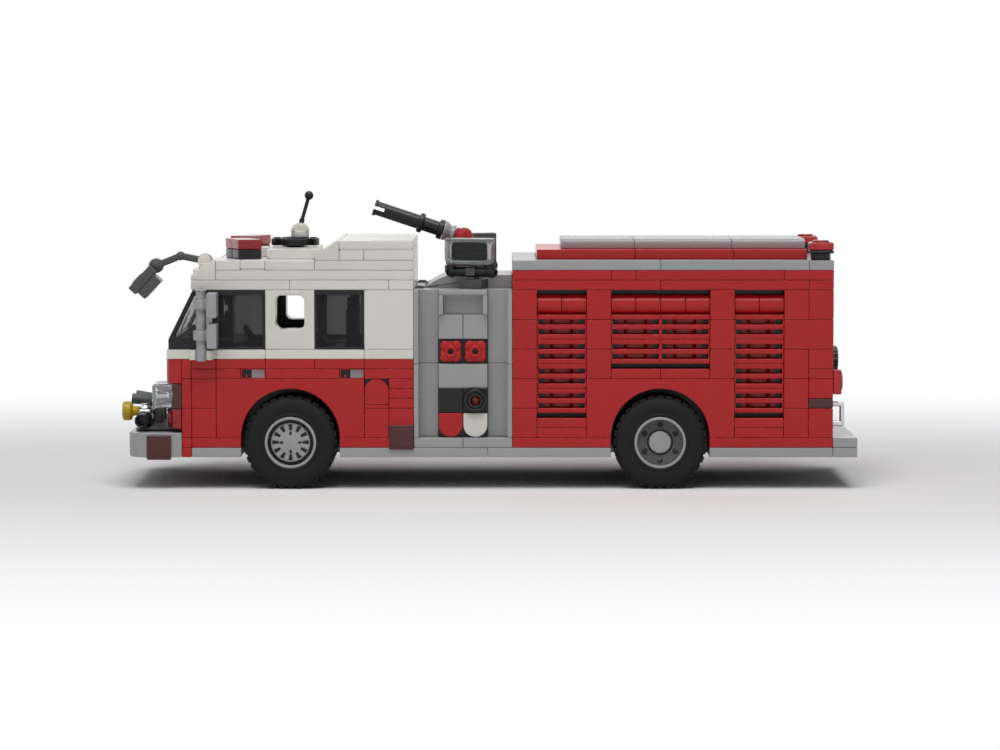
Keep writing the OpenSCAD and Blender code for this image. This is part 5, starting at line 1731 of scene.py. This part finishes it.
class ENGINE_OT_shutters(bpy.types.Operator):
    """Slatted red shutters with the roller drum over them, and black pieces behind them as painted shade of
    the dark space behind.
    """

    bl_idname = "engine.shutters"
    bl_label = "Shutters"

    slat = 1.6
    drum = 3.2

    def execute(self, context):
        """Makes the slats in rows, the drums, the sills and what shows between the slats."""
        red, dark, stud_places = Shape(), Shape(), []
        face = (HALF - 0.1) * STUD
        top = pz(EAVES) - self.slat - 2 * self.drum
        for number, (start, length, foot) in enumerate(BAYS):
            x0, x1 = sx(start), sx(start + length)
            module = 5 * self.slat
            count = int((top - pz(foot + 1)) / module + 0.01)
            for _ in both_sides(red):
                for n in range(length):
                    red.rod((0, face - self.drum, top + self.drum), "x", self.drum,
                            sx(start + n) + 0.05, sx(start + n + 1) - 0.05, edge=0.2)
                for n in range(start, start + length, 2):
                    red.brick(n, n + 2, HALF - 1, HALF, foot, foot + 1)
                for k in range(count):
                    z0, z1 = top - (k + 1) * module, top - k * module
                    red.box(x0 + 0.02, x0 + 0.5, face - 3, face - 0.3, z0, z1, 0.05)
                    red.box(x1 - 0.5, x1 - 0.02, face - 3, face - 0.3, z0, z1, 0.05)
                    for n in range(1, length // 2):
                        middle = sx(start + 2 * n)
                        red.box(middle - 0.5, middle + 0.5, face - 3, face - 0.25, z0, z1, 0.05)
            # A black sheet behind each bay and black spots at the slots' ends: painted shade in the gaps
            # round the drum and between the slats.
            for _ in both_sides(dark):
                dark.box(x0 + 0.02, x1 - 0.02, face - 6.7, face - 6.4, pz(foot + 1), pz(EAVES) - 0.1, 0.1)
                for n in range(length // 2):
                    for x in (sx(start + 2 * n) + 0.6, sx(start + 2 * n + 2) - 2.2):
                        dark.box(x, x + 1.6, face - 4, face - 3.3, top - count * module + 0.1, top - 0.1,
                                 0.1)
            for _ in both_sides(red):
                red.box(x0 + 0.03, x1 - 0.03, face - 4.8, face - 4, top - count * module, top, 0.1)
            for side, label in ((1, "far"), (-1, "near")):
                for part in range(length // 2):
                    slats = Shape()
                    slats.place = mirrored(side)
                    xa = sx(start + 2 * part) + SLIT
                    xb = sx(start + 2 * part + 2) - SLIT
                    foot_z = top - count * module
                    slats.box(xa, xb, face - 1.6, face, foot_z + 0.03, foot_z + self.slat, 0.22)
                    in_rows(f"slats_{number}_{part}_{label}", slats, "red", 3,
                            (0, 0, 2 * self.slat - 0.015), count, (0, 0, module))
                for k in range(count):
                    for slot in (1, 3):
                        z = top - (k + 1) * module + slot * self.slat
                        for n in range(1, length, 2):
                            stud_places.append((sx(start + n), side * (face - 8.1), z))
        red.make("shutter_drums_and_sills", "red", "shutters")
        dark.make("shutter_backs", "black")
        stud = Shape()
        stud.rod((0, 0, 0), "z", 5.6, 0.02, self.slat - 0.02, edge=0.1, steps=40)
        on_spots("rounds_behind_slats", stud, stud_places, "red")
        return {"FINISHED"}


class ENGINE_OT_body_top(bpy.types.Operator):
    """Grey trim, red bed and smooth grey cover on the roof of the body."""

    bl_idname = "engine.body_top"
    bl_label = "Body roof"

    def execute(self, context):
        """Makes the three layers."""
        trim, bed, cover = Shape(), Shape(), Shape()
        for _ in both_sides(trim):
            trim.lay(spans((9, 15, 21, BODY_BACK)), [(HALF - 1, HALF)], [(TRIM, TRIM + 1)])
        thirds = (-3, -1, 1, 3)
        for xa in (PUMP_BACK, BODY_BACK - 1):
            trim.lay_across(xa, xa + 1, thirds, [(TRIM, TRIM + 1)])
        trim.make("roof_trim_plates", "light_grey", "roof_trim")
        bed.lay(spans((10, 12, 16, 20, 21)), spans((-3, 0, 3)), [(TRIM, TRIM + 1)])
        bed.lay(spans((10, 14, 18, 21)), spans(thirds), [(TRIM + 1, TRIM + 2)])
        bed.make("hose_bed_plates", "red", "hose_bed")
        gap, r = cover.sizes.seam / 2, 1.5
        z0, z1 = pz(TRIM + 2), pz(TRIM + 3)
        for xa, xb in spans((11, 14, 18, 21)):
            for ya, yb in spans((-2, 0, 2)):
                y0, y1 = ya * STUD + gap, yb * STUD - gap
                if ya == 0:
                    outline = [(y0, z0), (y1, z0), (y1, z1 - r)] + arc(y1 - r, z1 - r, r, 0, 90, 6)[1:]
                    outline += [(y0, z1)]
                else:
                    outline = [(y1, z1)] + arc(y0 + r, z1 - r, r, 90, 180, 6) + [(y0, z0), (y1, z0)]
                cover.prism(outline, sx(xa) + gap, sx(xb) - gap, "x")
        cover.make("hose_cover_tiles", "light_grey", "hose_cover")
        return {"FINISHED"}


class ENGINE_OT_rear(bpy.types.Operator):
    """Lamps and port at the tail."""

    bl_idname = "engine.rear"
    bl_label = "Tail"

    def execute(self, context):
        """Makes the tail's fittings."""
        lens, grey, black = Shape(), Shape(), Shape()
        back, z0 = sx(BODY_BACK), low("rear_lights").z
        deep = high("rear_lights").x - back
        for _ in both_sides(lens):
            y0, y1 = (HALF - 1) * STUD, SIDE_Y
            lens.box(back + 0.02, back + deep - 0.5, y0 + 0.06, y1 - 0.06, z0, z0 + STUD, 0.3)
            lens.rod((0, (y0 + y1) / 2, z0 + STUD / 2), "x", 3, back + deep - 0.6, back + deep, edge=0.3,
                     steps=32)
        port_z = (low("rear_port").z + high("rear_port").z) / 2
        outer = (high("rear_port").z - low("rear_port").z) / 2
        mid = back + 0.2 * STUD
        tip = high("rear_port").x
        grey.lathe([(0, back), (outer, back), (outer, mid - 0.5), (outer - 0.6, mid), (0, mid)],
                   (0, 0, port_z), "x")
        black.lathe([(0, mid), (STUD / 2, mid), (STUD / 2, tip), (STUD / 2 - 1.2, tip),
                     (STUD / 2 - 1.4, tip - 1.2),
                     (0, tip - 1.2)], (0, 0, port_z), "x", edge=0.25)
        for y, z in ring_places(8, 3.6):
            black.rod((0, y, port_z + z), "x", 0.75, mid + 0.3, tip - 0.2, 0.2, 16)
        lens.make("rear_lamps", "red_lens", "rear_lights")
        grey.make("rear_port_flange", "light_grey")
        black.make("rear_port_knob", "black", "rear_port")
        return {"FINISHED"}


# ---------- wheels ----------


class ENGINE_OT_wheels(bpy.types.Operator):
    """Four treaded tyres, on spoked rims in front and dished rims behind."""

    bl_idname = "engine.wheels"
    bl_label = "Wheels"

    def execute(self, context):
        """Makes the wheels one by one."""
        for end, axle in zip("fr", AXLES):
            centre = Vector((sx(axle), 0, pivot("wheel_fl_spin").z))
            for letter, side in (("l", -1), ("r", 1)):
                self.wheel(end + letter, centre, side, spoked=axle == 0)
        return {"FINISHED"}

    def wheel(self, label, centre, side, spoked):
        """Makes one wheel, drawn on the far side and mirrored for the near one."""
        body = "wheel_" + label
        out, wide, radius = SIDE_Y, 14, centre.z
        mirror = Matrix.Translation(centre) @ mirrored(side)
        tyre = Shape()
        tyre.place = mirror
        inner = out - wide
        tyre.lathe([
            (8.45, out - 0.8), (8.45, out - 0.1), (9.2, out - 0.05), (9.6, out - 0.35), (10.4, out - 0.1),
            (12.6, out - 0.02), (13.9, out - 0.5), (14.7, out - 1.4), (14.7, out - 4.6), (14.1, out - 5),
            (14.1, out - 6.2), (14.7, out - 6.6), (14.7, out - 7.4), (14.1, out - 7.8), (14.1, out - 9),
            (14.7, out - 9.4), (14.7, inner + 1.6), (13.4, inner + 0.3), (8.45, inner + 0.1)],
            (0, 0, 0), "y", steps=72, edge=0.12)
        tyre.make("tyre_carcass_" + label, "rubber", "tyre_" + label, body=body)
        for row, (y0, y1, shift) in enumerate(((out - 4.7, out - 0.9, 0), (inner + 0.9, inner + 4.7, 0.5))):
            lug = Shape()
            lug.place = mirrored(side)
            outline = [(-1.1, 14.3), (1.1, 14.3), (1.0, radius - 0.02), (-1.0, radius - 0.02)]
            lug.prism(outline, y0, y1, "y", edge=0.15)
            count = lug.sizes.lugs
            round_axle(f"tread_{row}_{label}", lug, centre, count, "rubber", body,
                       start=360 / count * shift)
        rim, dark = Shape(), Shape()
        rim.place = dark.place = mirror
        bore, seat, web = 2.46, inner + 0.1, out - wide / 3 + 0.4
        rim.lathe([(bore, 2 * STUD + 0.3), (4, 2 * STUD + 0.3), (4, web - 1.2), (7, web - 1.2), (7, seat),
                   (8, seat),
                   (8, out - 0.7), (8.4, out - 0.7), (8.4, out - 0.15), (8.1, out), (7.5, out),
                   (7.5, web + 0.5),
                   (bore, web + 0.5)], (0, 0, 0), "y", edge=0.12)
        rim.rod((0, 0, 0), "y", 3.2, web + 0.4, web + 1)
        if spoked:
            dark.ring((0, 0, 0), "y", 6.2, 7.45, web + 0.45, web + 1.1, edge=0.05)
            # A dark grey ring behind the spokes: painted shade deep in the rim's windows, on what is light
            # grey plastic.
            pit = Shape()
            pit.place = mirror
            pit.ring((0, 0, 0), "y", 3.3, 6.25, web + 0.42, web + 1.6, edge=0.05)
            pit.make("rim_windows_" + label, "dark_grey", body=body, slot="light_grey_plastic")
            rim.rod((0, 0, 0), "y", 3.9, web + 0.9, out - 0.9, edge=0.25)
            for turn in range(4):
                with moved(turned(90 * turn, "Y"), dark):
                    dark.box(2.4, 3.6, out - 1.2, out - 0.83, -0.35, 0.35, 0.05)
            rim.ring((0, 0, 0), "y", 5.95, 6.35, web + 1, out - 1.1, edge=0.12)
            spoke = Shape()
            spoke.place = mirrored(side)
            spoke.prism([(3.6, -0.62), (6.2, -0.9), (6.2, 0.9), (3.6, 0.62)], web + 0.9, out - 0.95, "y",
                        edge=0.2)
            round_axle("spokes_" + label, spoke, centre, spoke.sizes.spokes, "light_grey", body, start=15)
        else:
            # The dish is dark grey as painted shade in the rim's hollow, on what is light grey plastic.
            dish = Shape()
            dish.place = mirror
            dish.lathe([(4.2, web + 0.4), (7.45, web + 0.4), (7.45, out - 1), (4.2, web + 2.2)], (0, 0, 0),
                       "y", edge=0.1)
            dish.make("rim_cone_" + label, "dark_grey", body=body, slot="light_grey_plastic")
            rim.lathe([(0, web + 0.8), (3.67, web + 0.8), (3.67, web + 2.6), (3.2, web + 3), (0, web + 3)],
                      (0, 0, 0), "y", edge=0.25)
            dark.ring((0, 0, 0), "y", 3.6, 4.25, web + 0.5, web + 1.9, edge=0.05)
            # Black discs on the dish stand for its six holes: painted shade where the holes are.
            hole = Shape()
            hole.place = mirrored(side)
            slant = turned(24, "Z", (5.75, web + 2.85, 0))
            with moved(slant, hole):
                hole.rod((0, 0, 0), "y", 0.95, -0.5, 0.06, edge=0.03, steps=20)
            round_axle("rim_holes_" + label, hole, centre, 6, "black", body, start=30)
        rim.make("rim_dish_" + label, "light_grey", "rim_" + label, body=body)
        dark.make("rim_shadow_" + label, "black", body=body)


# ---------- stage ----------


class ENGINE_OT_stage(bpy.types.Operator):
    """Pale floor, soft lamps and the camera level with the side."""

    bl_idname = "engine.stage"
    bl_label = "Stage"

    floor_half = 6.0
    # The floor's white begins and is complete at these distances; it is an ellipse, longer along X. The lit
    # grey inside it is painted shade, darker near the vehicle.
    fade_from, fade_to, squeeze = 0.06, 0.36, 0.45
    sky, key, top, back = 0.09, 4.0, 11.5, 1.4

    def floor(self):
        """A pale floor that keeps its shadow, lit grey near the vehicle and fading to a white glow farther
        out; the grey near the vehicle is painted shade.
        """
        half = self.floor_half
        mesh = bpy.data.meshes.new("floor")
        mesh.from_pydata([(-half, -half, 0), (half, -half, 0), (half, half, 0), (-half, half, 0)], [],
                         [(0, 1, 2, 3)])
        floor = bpy.data.objects.new("floor", mesh)
        bpy.context.scene.collection.objects.link(floor)
        recipe = Recipe("floor_paint")
        squeezed = recipe.node("ShaderNodeMapping",
                               {"Vector": recipe.coordinates(), "Scale": (self.squeeze, 1, 1)})
        away = recipe.node("ShaderNodeVectorMath", {0: squeezed}, output=1, operation="LENGTH")
        fade = away.between(self.fade_from, self.fade_to)
        # The lit grey, darker than the white glow beyond it: painted shade round the vehicle.
        lit = recipe.node("ShaderNodeBsdfPrincipled", {
            "Base Color": (0.84, 0.84, 0.84, 1), "Roughness": 0.9, "Specular IOR Level": 0.0})
        glow = recipe.node("ShaderNodeEmission", {"Color": (1, 1, 1, 1), "Strength": 1.0})
        seen = recipe.node("ShaderNodeLightPath", output=0)
        glossy = recipe.node("ShaderNodeLightPath", output=3)
        through = recipe.node("ShaderNodeLightPath", output=6)
        share = fade * recipe.node("ShaderNodeMath", {0: seen + glossy, 1: through}, operation="ADD",
                                   use_clamp=True)
        mixed = recipe.node("ShaderNodeMixShader", {0: share, 1: lit, 2: glow})
        recipe.node("ShaderNodeOutputMaterial", {"Surface": mixed})
        mesh.materials.append(recipe.material)

    def world(self):
        """A pale world, white where the camera sees it."""
        world = bpy.data.worlds.new("studio")
        world.use_nodes = True
        bpy.context.scene.world = world
        tree = world.node_tree
        tree.nodes.clear()
        path = tree.nodes.new("ShaderNodeLightPath")
        strength = tree.nodes.new("ShaderNodeMapRange")
        strength.inputs["To Min"].default_value = self.sky
        strength.inputs["To Max"].default_value = 1.0
        sky = tree.nodes.new("ShaderNodeBackground")
        sky.inputs["Color"].default_value = (1, 1, 1, 1)
        direct = path.outputs["Is Camera Ray"]
        for name in ("Is Glossy Ray", "Is Transmission Ray"):
            either = tree.nodes.new("ShaderNodeMath")
            either.operation, either.use_clamp = "ADD", True
            tree.links.new(direct, either.inputs[0])
            tree.links.new(path.outputs[name], either.inputs[1])
            direct = either.outputs[0]
        tree.links.new(direct, strength.inputs["Value"])
        tree.links.new(strength.outputs[0], sky.inputs["Strength"])
        end = tree.nodes.new("ShaderNodeOutputWorld")
        tree.links.new(sky.outputs[0], end.inputs["Surface"])

    def lamp(self, name, place, aim, size, power):
        """A soft square lamp."""
        data = bpy.data.lights.new(name, "AREA")
        data.shape, data.size, data.energy = "SQUARE", size, power
        lamp = bpy.data.objects.new(name, data)
        lamp.location = place
        lamp.rotation_euler = (Vector(aim) - Vector(place)).to_track_quat("-Z", "Y").to_euler()
        bpy.context.scene.collection.objects.link(lamp)

    def execute(self, context):
        """Makes the floor, the lamps and the camera."""
        self.floor()
        self.world()
        middle = (0, 0, 0.05)
        self.lamp("key_lamp", (-0.5, -0.9, 1.1), middle, 0.9, self.key)
        self.lamp("top_lamp", (0.05, -0.4, 1.25), middle, 0.9, self.top)
        self.lamp("back_lamp", (0.4, 0.7, 1.3), middle, 0.8, self.back)
        data = bpy.data.cameras.new("camera")
        data.sensor_width, data.lens = 36, 121.5
        data.clip_start, data.clip_end = 0.05, 50
        camera = bpy.data.objects.new("camera", data)
        camera.location = (0.004, -1.122, 0.122)
        camera.rotation_euler = (math.radians(90 - 4.446), 0, 0)
        bpy.context.scene.collection.objects.link(camera)
        bpy.context.scene.camera = camera
        bpy.context.scene.view_settings.view_transform = "Standard"
        return {"FINISHED"}


# ---------- the add-on ----------

STEPS = (
    ENGINE_OT_chassis, ENGINE_OT_axles, ENGINE_OT_bumper, ENGINE_OT_front_gear, ENGINE_OT_front_lights,
    ENGINE_OT_lower_cab, ENGINE_OT_upper_cab, ENGINE_OT_glazing, ENGINE_OT_cab_inside, ENGINE_OT_cab_roof,
    ENGINE_OT_roof_lights, ENGINE_OT_roof_gear, ENGINE_OT_mirror, ENGINE_OT_pump_panel, ENGINE_OT_pump_roof,
    ENGINE_OT_floodlights, ENGINE_OT_deck_gun, ENGINE_OT_body, ENGINE_OT_shutters, ENGINE_OT_body_top,
    ENGINE_OT_rear, ENGINE_OT_wheels, ENGINE_OT_stage,
)


class ENGINE_PT_build(bpy.types.Panel):
    """Lists the sizes, the colours and the steps of the build."""

    bl_idname = "ENGINE_PT_build"
    bl_label = "Fire engine"
    bl_space_type = "VIEW_3D"
    bl_region_type = "UI"
    bl_category = "Fire engine"

    def draw(self, context):
        """Draws the panel."""
        for group in (context.scene.brick_sizes, context.scene.brick_colours):
            box = self.layout.box()
            for name in group.__annotations__:
                box.prop(group, name)
        for step in STEPS:
            self.layout.operator(step.bl_idname)


CLASSES = (BrickSizes, BrickColours, *STEPS, ENGINE_PT_build)


def register():
    """Registers the classes and hangs the settings on the scene."""
    for cls in CLASSES:
        bpy.utils.register_class(cls)
    bpy.types.Scene.brick_sizes = bpy.props.PointerProperty(type=BrickSizes)
    bpy.types.Scene.brick_colours = bpy.props.PointerProperty(type=BrickColours)


def unregister():
    """Takes the settings and the classes away."""
    del bpy.types.Scene.brick_colours
    del bpy.types.Scene.brick_sizes
    for cls in reversed(CLASSES):
        bpy.utils.unregister_class(cls)


def main():
    """Runs every step in order and keeps the two boxes."""
    register()
    make_finishes(bpy.context.scene.brick_colours)
    make_repeats()
    for step in STEPS:
        group, name = step.bl_idname.split(".")
        getattr(getattr(bpy.ops, group), name)()


if __name__ == "__main__":
    main()
